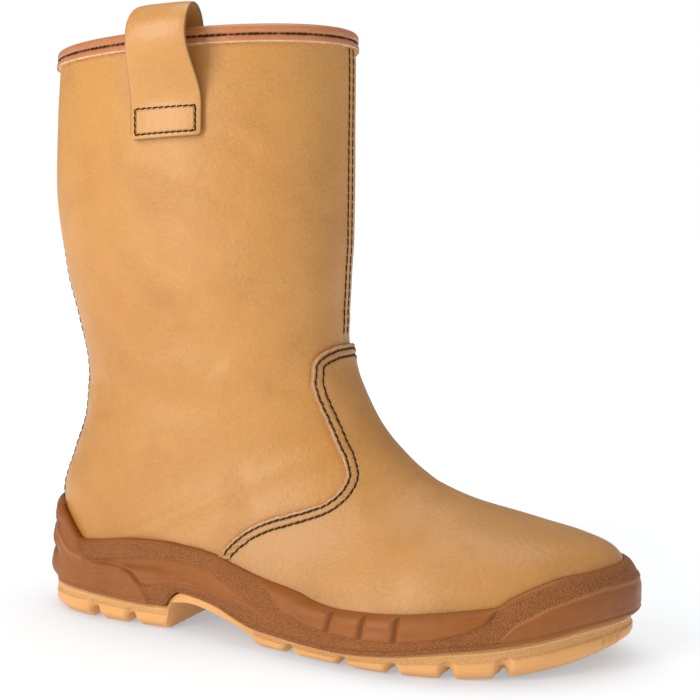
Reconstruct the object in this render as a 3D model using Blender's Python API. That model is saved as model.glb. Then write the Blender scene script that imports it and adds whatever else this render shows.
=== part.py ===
"""Rigger boot for the right foot: a pull-on leather work boot on a two-layer sole.

Metres, +Z up. The origin lies on the floor under the middle of the heel tread,
+X runs towards the toe and +Y towards the medial (inner) side of the foot.
Everything is drawn with x counted from the back of the heel, and one empty
carries the finished boot to its origin.
"""
import math
from collections import namedtuple

import bmesh
import bpy
import numpy as np
from mathutils import Vector
from mathutils.bvhtree import BVHTree

# Driving sizes of the last and the shaft
SOLE_LENGTH = 0.302
BALL_WIDTH = 0.104
SHAFT_HEIGHT = 0.278
COLLAR_LENGTH = 0.151
COLLAR_WIDTH = 0.107
COLLAR_BACK = 0.012
COLLAR_RISE = 0.004
ANKLE_HEIGHT = 0.122
ANKLE_WIDTH = 0.083
INSTEP_HEIGHT = 0.112
TOE_HEIGHT = 0.057
HEEL_REST = 0.055

# Driving sizes of the sole
HEEL_HEIGHT = 0.027
BALL_HEIGHT = 0.019
TOE_SPRING = 0.010
SPRING_START = 0.235
SOLE_EDGE = 0.007
HEEL_WRAP = 0.0565
SIDE_WALL = 0.044
BALL_WALL = 0.026
TOE_WALL = 0.046
LIP = 0.0026
TREAD_LAYER = 0.012
BREAST = 0.088
GROOVE_DEPTH = 0.0045
GROOVE_WIDTH = 0.0035

# Sheet thicknesses, trims and clearances
LEATHER = 0.002
VAMP_LEATHER = 0.0016
INSOLE = 0.004
INSOLE_PLAY = 0.0012
BINDING = 0.0012
BINDING_DROP = 0.0048
BINDING_BEAD = 0.0024
STRAP = 0.0025
STRAP_WIDTH = 0.0345
STRAP_NECK = 0.026
STRAP_DROP = 0.046
STRAP_SEAT = 0.015
HOOP_RISE = 0.0145
HOOP_STAND = 0.0125
HOOP_INSIDE = 0.006
LOOP_PLACE = 0.277
LINING = 0.003
GAP = 0.0003
SEAT_GAP = 0.00045
HEM = 0.0015
BASE_INSET = 0.001
BEVEL = 0.0005
TREAD_BEVEL = 0.0015
TREAD_WAIST = 0.0005
TREAD_TUCK = 0.0012
BREAST_SLOPE = 0.005
STATION_GAP = 0.006
ARCH_STEP = 0.001

# How far round and down the shaft neighbours are read to find a direction
TURN_STEP = 0.004
RISE_STEP = 0.04
SPAN_STEP = 0.01
DROP_STEP = 0.02
DROP_REACH = 0.13

# Where on the shaft the vamp's sheet starts before its edge is cut
VAMP_TOP = 0.4

# How finely the curved forms are cut into faces
SHAFT_ROWS = 13
FOOT_ROWS = 18
AROUND = 28
SOLE_STEPS = 36
DENSE = 240

Mark = namedtuple("Mark", "along across")
OUTLINE = (
    Mark(0.0125, 0.000), Mark(0.034, -0.183), Mark(0.092, -0.313), Mark(0.199, -0.359),
    Mark(0.331, -0.364), Mark(0.464, -0.423), Mark(0.570, -0.488), Mark(0.679, -0.529),
    Mark(0.781, -0.484), Mark(0.868, -0.380), Mark(0.936, -0.216), Mark(0.977, -0.029),
    Mark(0.992, 0.125), Mark(0.976, 0.279), Mark(0.922, 0.385), Mark(0.842, 0.462),
    Mark(0.745, 0.481), Mark(0.649, 0.440), Mark(0.546, 0.356), Mark(0.447, 0.306),
    Mark(0.348, 0.311), Mark(0.248, 0.341), Mark(0.149, 0.344), Mark(0.073, 0.284),
    Mark(0.031, 0.163),
)

# Sections are cut across the boot like slices of a fan. Place runs from 0 at the
# collar, through 1 where a slice meets the back corner of the heel, to 2 at the toe.
Section = namedtuple("Section", "place front front_up lateral medial belly low high ridge")
LEG = SHAFT_HEIGHT - INSTEP_HEIGHT
RIDGE = INSTEP_HEIGHT - TOE_HEIGHT
SECTIONS = (
    Section(0.00, COLLAR_BACK + COLLAR_LENGTH, SHAFT_HEIGHT + COLLAR_RISE,
            0.50 * COLLAR_WIDTH, 0.50 * COLLAR_WIDTH, 0.50, 2.05, 2.05, 0.0),
    Section(0.13, COLLAR_BACK + 1.001 * COLLAR_LENGTH, INSTEP_HEIGHT + 0.81 * LEG,
            0.50 * COLLAR_WIDTH, 0.50 * COLLAR_WIDTH, 0.50, 2.05, 2.05, 0.0),
    Section(0.25, COLLAR_BACK + 1.001 * COLLAR_LENGTH, INSTEP_HEIGHT + 0.645 * LEG,
            0.49 * COLLAR_WIDTH, 0.49 * COLLAR_WIDTH, 0.50, 2.1, 2.1, 0.0),
    Section(0.43, COLLAR_BACK + 1.000 * COLLAR_LENGTH, INSTEP_HEIGHT + 0.40 * LEG,
            0.45 * COLLAR_WIDTH, 0.45 * COLLAR_WIDTH, 0.50, 2.15, 2.15, 0.0),
    Section(0.52, COLLAR_BACK + 1.000 * COLLAR_LENGTH, INSTEP_HEIGHT + 0.285 * LEG,
            0.54 * ANKLE_WIDTH, 0.54 * ANKLE_WIDTH, 0.50, 2.2, 2.2, 0.001),
    Section(0.62, COLLAR_BACK + 1.000 * COLLAR_LENGTH, INSTEP_HEIGHT + 0.19 * LEG,
            0.50 * ANKLE_WIDTH, 0.50 * ANKLE_WIDTH, 0.50, 2.3, 2.25, 0.002),
    Section(0.71, COLLAR_BACK + 1.005 * COLLAR_LENGTH, INSTEP_HEIGHT + 0.125 * LEG,
            0.485 * ANKLE_WIDTH, 0.48 * ANKLE_WIDTH, 0.50, 2.35, 2.3, 0.003),
    Section(0.79, COLLAR_BACK + 1.016 * COLLAR_LENGTH, INSTEP_HEIGHT + 0.08 * LEG,
            0.475 * ANKLE_WIDTH, 0.47 * ANKLE_WIDTH, 0.50, 2.4, 2.3, 0.004),
    Section(0.89, COLLAR_BACK + 1.036 * COLLAR_LENGTH, INSTEP_HEIGHT + 0.04 * LEG,
            0.465 * ANKLE_WIDTH, 0.46 * ANKLE_WIDTH, 0.48, 2.5, 2.3, 0.004),
    Section(1.00, 0.568 * SOLE_LENGTH, INSTEP_HEIGHT,
            0.455 * ANKLE_WIDTH, 0.45 * ANKLE_WIDTH, 0.45, 2.5, 2.3, 0.005),
    Section(1.12, 0.588 * SOLE_LENGTH, TOE_HEIGHT + 0.815 * RIDGE,
            0.32 * BALL_WIDTH, 0.31 * BALL_WIDTH, 0.42, 2.5, 2.3, 0.005),
    Section(1.25, 0.618 * SOLE_LENGTH, TOE_HEIGHT + 0.625 * RIDGE,
            0.25 * BALL_WIDTH, 0.23 * BALL_WIDTH, 0.36, 2.5, 2.3, 0.005),
    Section(1.40, 0.669 * SOLE_LENGTH, TOE_HEIGHT + 0.395 * RIDGE,
            0.24 * BALL_WIDTH, 0.22 * BALL_WIDTH, 0.28, 2.4, 2.25, 0.005),
    Section(1.55, 0.748 * SOLE_LENGTH, TOE_HEIGHT + 0.20 * RIDGE,
            0.22 * BALL_WIDTH, 0.20 * BALL_WIDTH, 0.24, 2.3, 2.2, 0.005),
    Section(1.70, 0.844 * SOLE_LENGTH, TOE_HEIGHT + 0.07 * RIDGE,
            0.17 * BALL_WIDTH, 0.16 * BALL_WIDTH, 0.24, 2.3, 2.25, 0.007),
    Section(1.80, 0.912 * SOLE_LENGTH, TOE_HEIGHT,
            0.14 * BALL_WIDTH, 0.13 * BALL_WIDTH, 0.24, 2.3, 2.3, 0.008),
    Section(1.88, 0.957 * SOLE_LENGTH, 0.92 * TOE_HEIGHT,
            0.10 * BALL_WIDTH, 0.10 * BALL_WIDTH, 0.24, 2.3, 2.3, 0.010),
    Section(1.94, 0.977 * SOLE_LENGTH, 0.80 * TOE_HEIGHT,
            0.07 * BALL_WIDTH, 0.07 * BALL_WIDTH, 0.24, 2.3, 2.3, 0.012),
    Section(1.97, 0.981 * SOLE_LENGTH, 0.65 * TOE_HEIGHT,
            0.04 * BALL_WIDTH, 0.04 * BALL_WIDTH, 0.24, 2.3, 2.3, 0.0125),
)

Seam = namedtuple("Seam", "place along up")
BACK_SEAM = (
    Seam(0.00, COLLAR_BACK, SHAFT_HEIGHT - COLLAR_RISE),
    Seam(0.13, 0.80 * COLLAR_BACK, ANKLE_HEIGHT + 0.78 * (SHAFT_HEIGHT - ANKLE_HEIGHT)),
    Seam(0.25, 0.74 * COLLAR_BACK, ANKLE_HEIGHT + 0.59 * (SHAFT_HEIGHT - ANKLE_HEIGHT)),
    Seam(0.43, 1.19 * COLLAR_BACK, ANKLE_HEIGHT + 0.31 * (SHAFT_HEIGHT - ANKLE_HEIGHT)),
    Seam(0.52, 1.72 * COLLAR_BACK, ANKLE_HEIGHT + 0.165 * (SHAFT_HEIGHT - ANKLE_HEIGHT)),
    Seam(0.62, 2.18 * COLLAR_BACK, ANKLE_HEIGHT),
    Seam(0.71, 2.05 * COLLAR_BACK, 0.82 * ANKLE_HEIGHT),
    Seam(0.79, 1.46 * COLLAR_BACK, 0.655 * ANKLE_HEIGHT),
    Seam(0.89, 0.85 * COLLAR_BACK, 0.455 * ANKLE_HEIGHT),
)

# The side of the sole. Three lines run along it, where one band of relief meets the
# next, and the bands stand proud of it or lie back from it.
Side = namedtuple("Side", "along low mid high strip panel band pad")
PROUD = 0.0013
STAND = 0.0003
SUNK = -0.0008
SIDE = (
    Side(0.000, 0.030, 0.0305, 0.060, PROUD, 0.0, 0.0, 0.0),
    Side(0.136, 0.0298, 0.0303, 0.040, PROUD, 0.0, 0.0, 0.0),
    Side(0.172, 0.0292, 0.031, 0.042, PROUD, SUNK, 0.0, 0.0),
    Side(0.205, 0.0286, 0.033, 0.043, PROUD, SUNK, 0.0, 0.0),
    Side(0.242, 0.0217, 0.0345, 0.043, PROUD, SUNK, 0.0, 0.0),
    Side(0.265, 0.0213, 0.0355, 0.043, STAND, SUNK, 0.0, 0.0),
    Side(0.315, 0.0234, 0.036, 0.043, STAND, SUNK, 0.0, 0.0),
    Side(0.377, 0.0228, 0.033, 0.040, STAND, SUNK, 0.0, 0.0),
    Side(0.430, 0.0215, 0.0265, 0.036, STAND, SUNK, 0.0, 0.0),
    Side(0.470, 0.0175, 0.020, 0.032, STAND, 0.0, 0.0, 0.0),
    Side(0.507, 0.0130, 0.015, 0.0255, STAND, 0.0, 0.0, PROUD),
    Side(0.563, 0.0105, 0.0125, 0.0178, 0.0, 0.0, 0.0, PROUD),
    Side(0.652, 0.0112, 0.0130, 0.0162, 0.0, 0.0, 0.0, PROUD),
    Side(0.705, 0.0125, 0.0145, 0.0170, 0.0, 0.0, 0.0, PROUD),
    Side(0.762, 0.0145, 0.0165, 0.0195, 0.0, 0.0, 0.0, PROUD),
    Side(0.828, 0.0172, 0.0192, 0.0275, 0.0, 0.0, 0.0, PROUD),
    Side(0.848, 0.0187, 0.0215, 0.0320, STAND, STAND, 0.0, 0.0),
    Side(0.865, 0.0197, 0.0262, 0.0350, STAND, STAND, 0.0, 0.0),
    Side(0.900, 0.0210, 0.0325, 0.0395, STAND, STAND, 0.0, 0.0),
    Side(0.935, 0.0232, 0.0360, 0.0420, STAND, STAND, 0.0, 0.0),
    Side(1.000, 0.0250, 0.0385, 0.0440, STAND, STAND, 0.0, 0.0),
)

Height = namedtuple("Height", "along up")
FLOOR_LINE = (
    Height(0.00, HEEL_HEIGHT), Height(0.22, HEEL_HEIGHT), Height(0.32, 0.93 * HEEL_HEIGHT),
    Height(0.45, 0.72 * HEEL_HEIGHT), Height(0.60, BALL_HEIGHT), Height(1.00, BALL_HEIGHT),
)
WALL_TOP = (
    Height(0.000, HEEL_WRAP), Height(0.030, 0.98 * HEEL_WRAP), Height(0.070, 0.87 * HEEL_WRAP),
    Height(0.098, 0.75 * HEEL_WRAP), Height(0.117, 0.88 * SIDE_WALL), Height(0.150, 0.91 * SIDE_WALL),
    Height(0.230, 0.99 * SIDE_WALL), Height(0.285, SIDE_WALL), Height(0.345, 0.965 * SIDE_WALL),
    Height(0.405, 0.875 * SIDE_WALL), Height(0.470, 0.755 * SIDE_WALL), Height(0.530, 1.16 * BALL_WALL),
    Height(0.575, 1.04 * BALL_WALL), Height(0.610, BALL_WALL), Height(0.660, 1.02 * BALL_WALL),
    Height(0.715, 1.065 * BALL_WALL), Height(0.790, 1.17 * BALL_WALL), Height(0.843, 0.71 * TOE_WALL),
    Height(0.862, 0.79 * TOE_WALL), Height(0.896, 0.89 * TOE_WALL), Height(0.930, 0.96 * TOE_WALL),
    Height(1.000, TOE_WALL),
)
# Where the pale tread layer meets the darker midsole
LAYER_LINE = (
    Height(0.000, 1.25 * TREAD_LAYER), Height(0.100, 1.20 * TREAD_LAYER), Height(0.200, 1.05 * TREAD_LAYER),
    Height(0.285, 0.98 * TREAD_LAYER), Height(0.303, 1.48 * TREAD_LAYER), Height(0.315, 1.62 * TREAD_LAYER),
    Height(0.345, 1.53 * TREAD_LAYER), Height(0.407, 1.18 * TREAD_LAYER), Height(0.467, 0.76 * TREAD_LAYER),
    Height(0.600, 0.60 * TREAD_LAYER), Height(0.687, 0.77 * TREAD_LAYER), Height(0.782, 1.13 * TREAD_LAYER),
    Height(0.833, 1.29 * TREAD_LAYER), Height(0.900, 1.58 * TREAD_LAYER), Height(0.950, 1.83 * TREAD_LAYER),
    Height(1.000, 1.90 * TREAD_LAYER),
)
# The underside of the waist, between the heel's breast and the first forefoot lug
ARCH_LINE = (
    Height(0.298, 1.15 * TREAD_LAYER), Height(0.325, 1.22 * TREAD_LAYER), Height(0.407, 0.80 * TREAD_LAYER),
    Height(0.452, 0.40 * TREAD_LAYER),
)
FOREFOOT_START = 0.455
HEEL_GROOVES = (0.148, 0.221)
FOREFOOT_GROOVES = (0.520, 0.616, 0.698, 0.778, 0.853)
PAD_GROOVES = (0.604, 0.657, 0.708)
PAD_GROOVE_WIDTH = 0.0018

# The vamp's edge, drawn in side view from the tongue's top down to the sole
Edge = namedtuple("Edge", "along up")
VAMP_EDGE = (
    Edge(0.5315, 1.228 * INSTEP_HEIGHT), Edge(0.5182, 1.196 * INSTEP_HEIGHT),
    Edge(0.5110, 1.152 * INSTEP_HEIGHT), Edge(0.5103, 1.096 * INSTEP_HEIGHT),
    Edge(0.5175, 1.013 * INSTEP_HEIGHT), Edge(0.5318, 0.924 * INSTEP_HEIGHT),
    Edge(0.5490, 0.838 * INSTEP_HEIGHT), Edge(0.5670, 0.756 * INSTEP_HEIGHT),
    Edge(0.5750, 0.698 * INSTEP_HEIGHT), Edge(0.5680, 0.647 * INSTEP_HEIGHT),
    Edge(0.5464, 0.598 * INSTEP_HEIGHT), Edge(0.5050, 0.558 * INSTEP_HEIGHT),
    Edge(0.4580, 0.515 * INSTEP_HEIGHT), Edge(0.4295, 0.472 * INSTEP_HEIGHT),
    Edge(0.3990, 0.397 * INSTEP_HEIGHT), Edge(0.3760, 0.300 * INSTEP_HEIGHT),
)


def smooth(stations, values, at):
    """Read a table as a curve that keeps its rises and falls, with no overshoot."""
    s, v, a = (np.asarray(item, float) for item in (stations, values, at))
    run = np.diff(s)
    rate = np.diff(v) / run
    slope = np.zeros_like(v)
    same = rate[:-1] * rate[1:] > 0
    blend = 2 * rate[:-1] * rate[1:] / np.where(same, rate[:-1] + rate[1:], 1)
    slope[1:-1] = np.where(same, blend, 0)
    slope[0], slope[-1] = rate[0], rate[-1]
    i = np.clip(np.searchsorted(s, a, side="right") - 1, 0, len(run) - 1)
    t = np.clip((a - s[i]) / run[i], 0, 1)
    rise = v[i + 1] - v[i]
    return (v[i] + rise * t * t * (3 - 2 * t)
            + run[i] * t * (1 - t) * (slope[i] * (1 - t) - slope[i + 1] * t))


def column(table, name):
    """One named column of a table, as an array."""
    return np.array([getattr(row, name) for row in table], float)


def height(table, x):
    """Height of one of the sole's lines above the floor, at distance x from the heel."""
    share = np.asarray(x, float) / SOLE_LENGTH
    return smooth(column(table, "along"), column(table, "up"), share)


def spring(x):
    """How far the toe lifts off the floor at distance x from the heel."""
    run = (np.asarray(x, float) - SPRING_START) / (SOLE_LENGTH - SPRING_START)
    return TOE_SPRING * np.clip(run, 0, 1) ** 2


def floor_height(x):
    """Top of the sole inside the boot, on which the upper's lower edge stands."""
    return height(FLOOR_LINE, x) + spring(x)


def closed_curve(points, count):
    """Even points along a smooth closed curve through the given corners."""
    ring = np.array(points, float)
    before, after = np.roll(ring, 1, axis=0), np.roll(ring, -1, axis=0)
    tangent = (after - before) / 2
    t = np.linspace(0, 1, 16, endpoint=False)[:, None]
    pieces = []
    for i in range(len(ring)):
        j = (i + 1) % len(ring)
        pieces.append((1 + 2 * t) * (1 - t) ** 2 * ring[i] + t * (1 - t) ** 2 * tangent[i]
                      + t * t * (3 - 2 * t) * ring[j] - t * t * (1 - t) * tangent[j])
    fine = np.vstack(pieces + [ring[:1]])
    length = np.concatenate([[0], np.cumsum(np.linalg.norm(np.diff(fine, axis=0), axis=1))])
    at = np.linspace(0, length[-1], count, endpoint=False)
    return np.stack([np.interp(at, length, fine[:, k]) for k in range(2)], axis=1)


def outline_branches(inset):
    """The sole's outline moved inwards, as its lateral and its medial branch."""
    ring = closed_curve([(m.along * SOLE_LENGTH, m.across * BALL_WIDTH) for m in OUTLINE], 720)
    along = np.roll(ring, -1, axis=0) - np.roll(ring, 1, axis=0)
    along /= np.linalg.norm(along, axis=1)[:, None]
    moved = ring + inset * np.stack([-along[:, 1], along[:, 0]], axis=1)
    back, tip = int(np.argmin(moved[:, 0])), int(np.argmax(moved[:, 0]))
    moved = np.roll(moved, -back, axis=0)
    tip = (tip - back) % len(moved)
    return moved[:tip + 1], np.vstack([moved[tip:], moved[:1]])[::-1]


def outline_at(branches, share):
    """Points of both branches at a share of the way from heel to toe, close at both ends."""
    lateral, medial = branches
    back, tip = lateral[0, 0], lateral[-1, 0]
    x = back + (tip - back) * (1 - np.cos(np.pi * np.asarray(share, float))) / 2
    y_lateral = np.interp(x, np.maximum.accumulate(lateral[:, 0]), lateral[:, 1])
    y_medial = np.interp(x, np.maximum.accumulate(medial[:, 0]), medial[:, 1])
    return x, y_lateral, y_medial


class Last:
    """The outer surface of the upper, as slices of a fan from the collar to the toe."""

    def __init__(self):
        self.feather = outline_branches(SOLE_EDGE)
        self.places = np.concatenate([np.linspace(0, 1, DENSE // 2, endpoint=False),
                                      np.linspace(1, 2, DENSE // 2 + 1)])
        self.rounds = np.linspace(0, 1, DENSE + 1)
        self.back = self._back(self.places)
        self.front = self._front(self.places)
        self.grid = np.array([self._slice(i) for i in range(len(self.places))])

    def _back(self, places):
        """Where each slice starts: the back seam, then the line along the floor."""
        x, y_lateral, y_medial = outline_at(self.feather, np.clip(places - 1, 0, 1))
        corner = Seam(1.0, self.feather[0][0, 0], float(floor_height(self.feather[0][0, 0])))
        seam = BACK_SEAM + (corner,)
        on_leg = places < 1
        along = smooth(column(seam, "place"), column(seam, "along"), np.minimum(places, 1))
        up = smooth(column(seam, "place"), column(seam, "up"), np.minimum(places, 1))
        return np.stack([np.where(on_leg, along, x), np.where(on_leg, up, floor_height(x)),
                         (y_lateral + y_medial) / 2, (y_medial - y_lateral) / 2], axis=1)

    def _front(self, places):
        """Where each slice ends: the shin, the instep ridge and the toe."""
        tip = self.feather[0][-1]
        last = Section(2.0, tip[0], float(floor_height(tip[0])), 0, 0, *SECTIONS[-1][5:8], tip[1])
        rows = SECTIONS + (last,)
        names = Section._fields[1:]
        front = {name: smooth(column(rows, "place"), column(rows, name), places) for name in names}
        ahead = np.gradient(np.stack([front["front"], front["front_up"]], axis=1), axis=0)
        ahead /= np.linalg.norm(ahead, axis=1)[:, None]
        cover = np.interp(places, (VAMP_TOP, VAMP_TOP + 0.15, SECTIONS[-2].place, 2.0), (0, 1, 1, 0))
        cover *= SEAT_GAP + VAMP_LEATHER
        front["front"] = front["front"] + cover * ahead[:, 1]
        front["front_up"] = front["front_up"] - cover * ahead[:, 0]
        return front

    def _slice(self, i):
        """One slice: from the lateral sole over the front to the medial sole."""
        x, z, middle, half = self.back[i]
        row = {name: values[i] for name, values in self.front.items()}
        sides = [self._side(x, z, middle, half, row, row[side], sign)
                 for side, sign in (("lateral", -1), ("medial", 1))]
        return np.vstack([sides[0], sides[1][::-1][1:]])

    def _side(self, x, z, middle, half, row, bulge, sign):
        """Half a slice, a pair of superellipse arcs that start at the given half width."""
        wide = math.hypot(half, bulge) + 1e-9
        start = math.asin(min(half / wide, 1.0) ** (row["low"] / 2))
        angle = np.linspace(start, math.pi, 200)
        power = np.where(angle < math.pi / 2, row["low"], row["high"])
        reach = np.abs(np.cos(angle)) ** (2 / power)
        share = np.where(angle < math.pi / 2, row["belly"] * (1 - reach),
                         row["belly"] + (1 - row["belly"]) * reach)
        out = wide * np.sin(angle).clip(0) ** (2 / power)
        share = (share - share[0]) / (1 - share[0])
        line = np.stack([x + (row["front"] - x) * share,
                         middle + (row["ridge"] - middle) * share + sign * out,
                         z + (row["front_up"] - z) * share], axis=1)
        length = np.concatenate([[0], np.cumsum(np.linalg.norm(np.diff(line, axis=0), axis=1))])
        at = np.linspace(0, length[-1], DENSE // 2 + 1)
        return np.stack([np.interp(at, length, line[:, k]) for k in range(3)], axis=1)

    def point(self, place, around):
        """Points of the surface, where around runs from 0 over the front at 0.5 to 1."""
        place, around = np.broadcast_arrays(np.asarray(place, float), np.asarray(around, float))
        i = np.interp(place, self.places, np.arange(len(self.places)))
        j = around * DENSE
        i0 = np.minimum(i.astype(int), len(self.places) - 2)
        j0 = np.clip(j.astype(int), 0, DENSE - 1)
        u, v = (i - i0)[..., None], (j - j0)[..., None]
        g = self.grid
        return ((1 - u) * ((1 - v) * g[i0, j0] + v * g[i0, j0 + 1])
                + u * ((1 - v) * g[i0 + 1, j0] + v * g[i0 + 1, j0 + 1]))


def material(name, colour, roughness):
    """A plain finish for one piece."""
    finish = bpy.data.materials.new(name)
    finish.use_nodes = True
    shader = finish.node_tree.nodes["Principled BSDF"]
    shader.inputs["Base Color"].default_value = (*colour, 1)
    shader.inputs["Roughness"].default_value = roughness
    shader.inputs["Metallic"].default_value = 0.0
    return finish


def add_object(name, points, faces, finish, boot):
    """Make one named piece from points and faces, with its faces turned outwards."""
    mesh = bpy.data.meshes.new(name)
    mesh.from_pydata([tuple(map(float, p)) for p in points], [], faces)
    shape = bmesh.new()
    shape.from_mesh(mesh)
    bmesh.ops.dissolve_degenerate(shape, edges=shape.edges, dist=1e-6)
    bmesh.ops.recalc_face_normals(shape, faces=shape.faces)
    shape.to_mesh(mesh)
    shape.free()
    mesh.shade_smooth()
    mesh.set_sharp_from_angle(angle=math.radians(40))
    if finish is not None:
        mesh.materials.append(finish)
    piece = bpy.data.objects.new(name, mesh)
    piece.parent = boot
    bpy.context.scene.collection.objects.link(piece)
    return piece


def sheet_normals(points, faces):
    """Area-weighted normal at each point of a sheet."""
    total = np.zeros_like(points)
    for face in faces:
        corners = points[list(face)]
        cross = np.zeros(3)
        for k in range(1, len(face) - 1):
            cross += np.cross(corners[k] - corners[0], corners[k + 1] - corners[0])
        for index in face:
            total[index] += cross
    return total / np.linalg.norm(total, axis=1)[:, None]


def thicken(points, faces, normals, near, far):
    """Turn a sheet into a closed solid between two distances from it."""
    count = len(points)
    solid = np.vstack([points + normals * far, points + normals * near])
    sides = list(faces) + [tuple(count + i for i in reversed(face)) for face in faces]
    edges = {(face[k], face[(k + 1) % len(face)]) for face in faces for k in range(len(face))}
    for a, b in sorted(edges):
        if (b, a) not in edges:
            sides.append((b, a, count + a, count + b))
    return solid, sides


def grid_faces(index):
    """Triangles of a grid of point numbers, all split along the same diagonal."""
    faces = []
    for upper, lower in zip(index[:-1], index[1:]):
        for k in range(len(upper) - 1):
            for ring in ((upper[k], lower[k], lower[k + 1]), (upper[k], lower[k + 1], upper[k + 1])):
                if len(set(ring)) == 3:
                    faces.append(ring)
    return faces


def lattice(last, first=0.0):
    """The upper's outer surface: rings down the shaft, then arches over the foot.

    Returns its points, faces and outward directions, and the point numbers of its
    first ring and of its lower edge, lateral and medial, from the heel to the toe.
    """
    shaft = np.linspace(0, 1, SHAFT_ROWS + 1)
    foot = np.linspace(1, 2, FOOT_ROWS + 1)[1:]
    around = np.linspace(0, 1, AROUND + 1)
    points, index, hem = [], [], []
    for place in np.concatenate([shaft[shaft >= first], foot]):
        row = last.point(place, around)
        start = len(points)
        if place <= 1:
            points.extend(row[:-1])
            index.append([*range(start, start + AROUND), start])
            if place == 1:
                hem.append((start, start))
        elif place < 2:
            points.extend(row)
            index.append(list(range(start, start + AROUND + 1)))
            hem.append((start, start + AROUND))
        else:
            points.append(row[0])
            index.append([start] * (AROUND + 1))
            hem.append((start, start))
    points = np.array(points)
    faces = grid_faces(index)
    normals = sheet_normals(points, faces)
    normals[np.unique(hem), 2] = 0
    normals /= np.linalg.norm(normals, axis=1)[:, None]
    return points, faces, normals, index[0][:-1], hem


def above_floor(points, drop=0.0):
    """Lift any point that dips under the floor of the boot back onto it."""
    low = floor_height(points[:, 0]) - drop
    return np.column_stack([points[:, :2], np.maximum(points[:, 2], low)])


def last_form(last, away):
    """The foot's form as a closed solid, grown by a distance and filled inside."""
    points, faces, normals, rim, hem = lattice(last)
    points = points + normals * away
    points[np.unique(hem), 2] -= 2 * GAP
    points = above_floor(points, GAP)
    faces = list(faces) + [tuple(rim)]
    for (a, b), (c, d) in zip(hem[:-1], hem[1:]):
        corners = [n for k, n in enumerate((a, b, d, c)) if n not in (a, b, d, c)[:k]]
        faces.append(tuple(corners))
    return points, faces


def vamp_prism(margin):
    """Side view of everything in front of the vamp's edge, grown by a margin."""
    edge = np.array([(e.along * SOLE_LENGTH, e.up) for e in VAMP_EDGE])
    at = np.linspace(0, 1, 29)
    length = np.concatenate([[0], np.cumsum(np.linalg.norm(np.diff(edge, axis=0), axis=1))])
    line = np.stack([smooth(length / length[-1], edge[:, k], at) for k in range(2)], axis=1)
    ahead = np.gradient(line, axis=0)
    ahead /= np.linalg.norm(ahead, axis=1)[:, None]
    line = line + margin * np.stack([ahead[:, 1], -ahead[:, 0]], axis=1)
    front = SOLE_LENGTH + SOLE_EDGE
    corners = [(line[-1, 0], 0.0), (front, 0.0), (front, 1.3 * INSTEP_HEIGHT)]
    return [tuple(p) for p in line] + corners


def side_cutter(name, outline, boot):
    """A guide prism that stands across the boot over an outline in side view."""
    count = len(outline)
    reach = 0.8 * BALL_WIDTH
    points = [(x, y, z) for y in (-reach, reach) for x, z in outline]
    faces = [tuple(range(count)), tuple(range(count, 2 * count))[::-1]]
    faces += [(k, (k + 1) % count, count + (k + 1) % count, count + k) for k in range(count)]
    return guide(name, points, faces, boot)


def guide(name, points, faces, boot):
    """A closed form that only cuts others: it isn't a piece of the boot."""
    piece = add_object(name, points, faces, None, boot)
    piece.hide_render = True
    piece.display_type = "WIRE"
    return piece


def cut_with(piece, other, operation):
    """Cut, or keep the common part of, a piece and a guide."""
    cut = piece.modifiers.new(other.name, "BOOLEAN")
    cut.operation = operation
    cut.object = other


def ring_solid(rings, closed_across):
    """A solid from stacked closed rings, capped across from one side to the other."""
    count = len(rings[0])
    points = np.vstack(rings)
    faces = []
    for r in range(len(rings) - 1):
        for k in range(count):
            n = (k + 1) % count
            faces.append((r * count + k, r * count + n, (r + 1) * count + n, (r + 1) * count + k))
    for base in closed_across:
        half = count // 2
        for k in range(half):
            a, b = base * count + k, base * count + k + 1
            c = base * count + (count - k - 1) % count
            d = base * count + (count - k) % count
            corners = []
            for p in (a, b, c, d):
                if p not in corners:
                    corners.append(p)
            faces.append(tuple(corners))
    return points, faces


def sole_stations():
    """Shares from heel to toe at which the sole is cut, close at grooves and ends."""
    share = list((1 - np.cos(np.pi * np.linspace(0, 1, SOLE_STEPS + 1))) / 2)
    breast = BREAST / SOLE_LENGTH - ARCH_STEP
    extra = [breast, breast + BREAST_SLOPE]
    for groove in PAD_GROOVES:
        half = 0.5 * PAD_GROOVE_WIDTH / SOLE_LENGTH
        extra.extend((groove - 2 * half, groove - half, groove + half, groove + 2 * half))
    kept = [s for s in share if min(abs(s - e) for e in extra) > STATION_GAP or s in (0.0, 1.0)]
    return np.array(sorted(kept + extra))


def outline_ring(share):
    """Sole outline points and outward directions: the lateral side out, the medial back."""
    lateral, medial = outline_branches(0.0)
    x = lateral[0, 0] + (lateral[-1, 0] - lateral[0, 0]) * share
    out_l = np.stack([x, np.interp(x, np.maximum.accumulate(lateral[:, 0]), lateral[:, 1])], axis=1)
    out_m = np.stack([x, np.interp(x, np.maximum.accumulate(medial[:, 0]), medial[:, 1])], axis=1)
    ring = np.vstack([out_l, out_m[::-1][1:-1]])
    along = np.roll(ring, -1, axis=0) - np.roll(ring, 1, axis=0)
    along /= np.linalg.norm(along, axis=1)[:, None]
    return ring, np.stack([along[:, 1], -along[:, 0]], axis=1)


def side_relief(x):
    """Heights of the three lines of the sole's side and the stand of its four bands."""
    share = x / SOLE_LENGTH
    names = ("low", "mid", "high", "strip", "panel", "band", "pad")
    at = {name: smooth(column(SIDE, "along"), column(SIDE, name), share) for name in names}
    for groove in PAD_GROOVES:
        depth = np.clip(2 - np.abs(share - groove) * 2 * SOLE_LENGTH / PAD_GROOVE_WIDTH, 0, 1)
        at["pad"] = at["pad"] - PROUD * depth * (at["pad"] > STAND)
    return at


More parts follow.
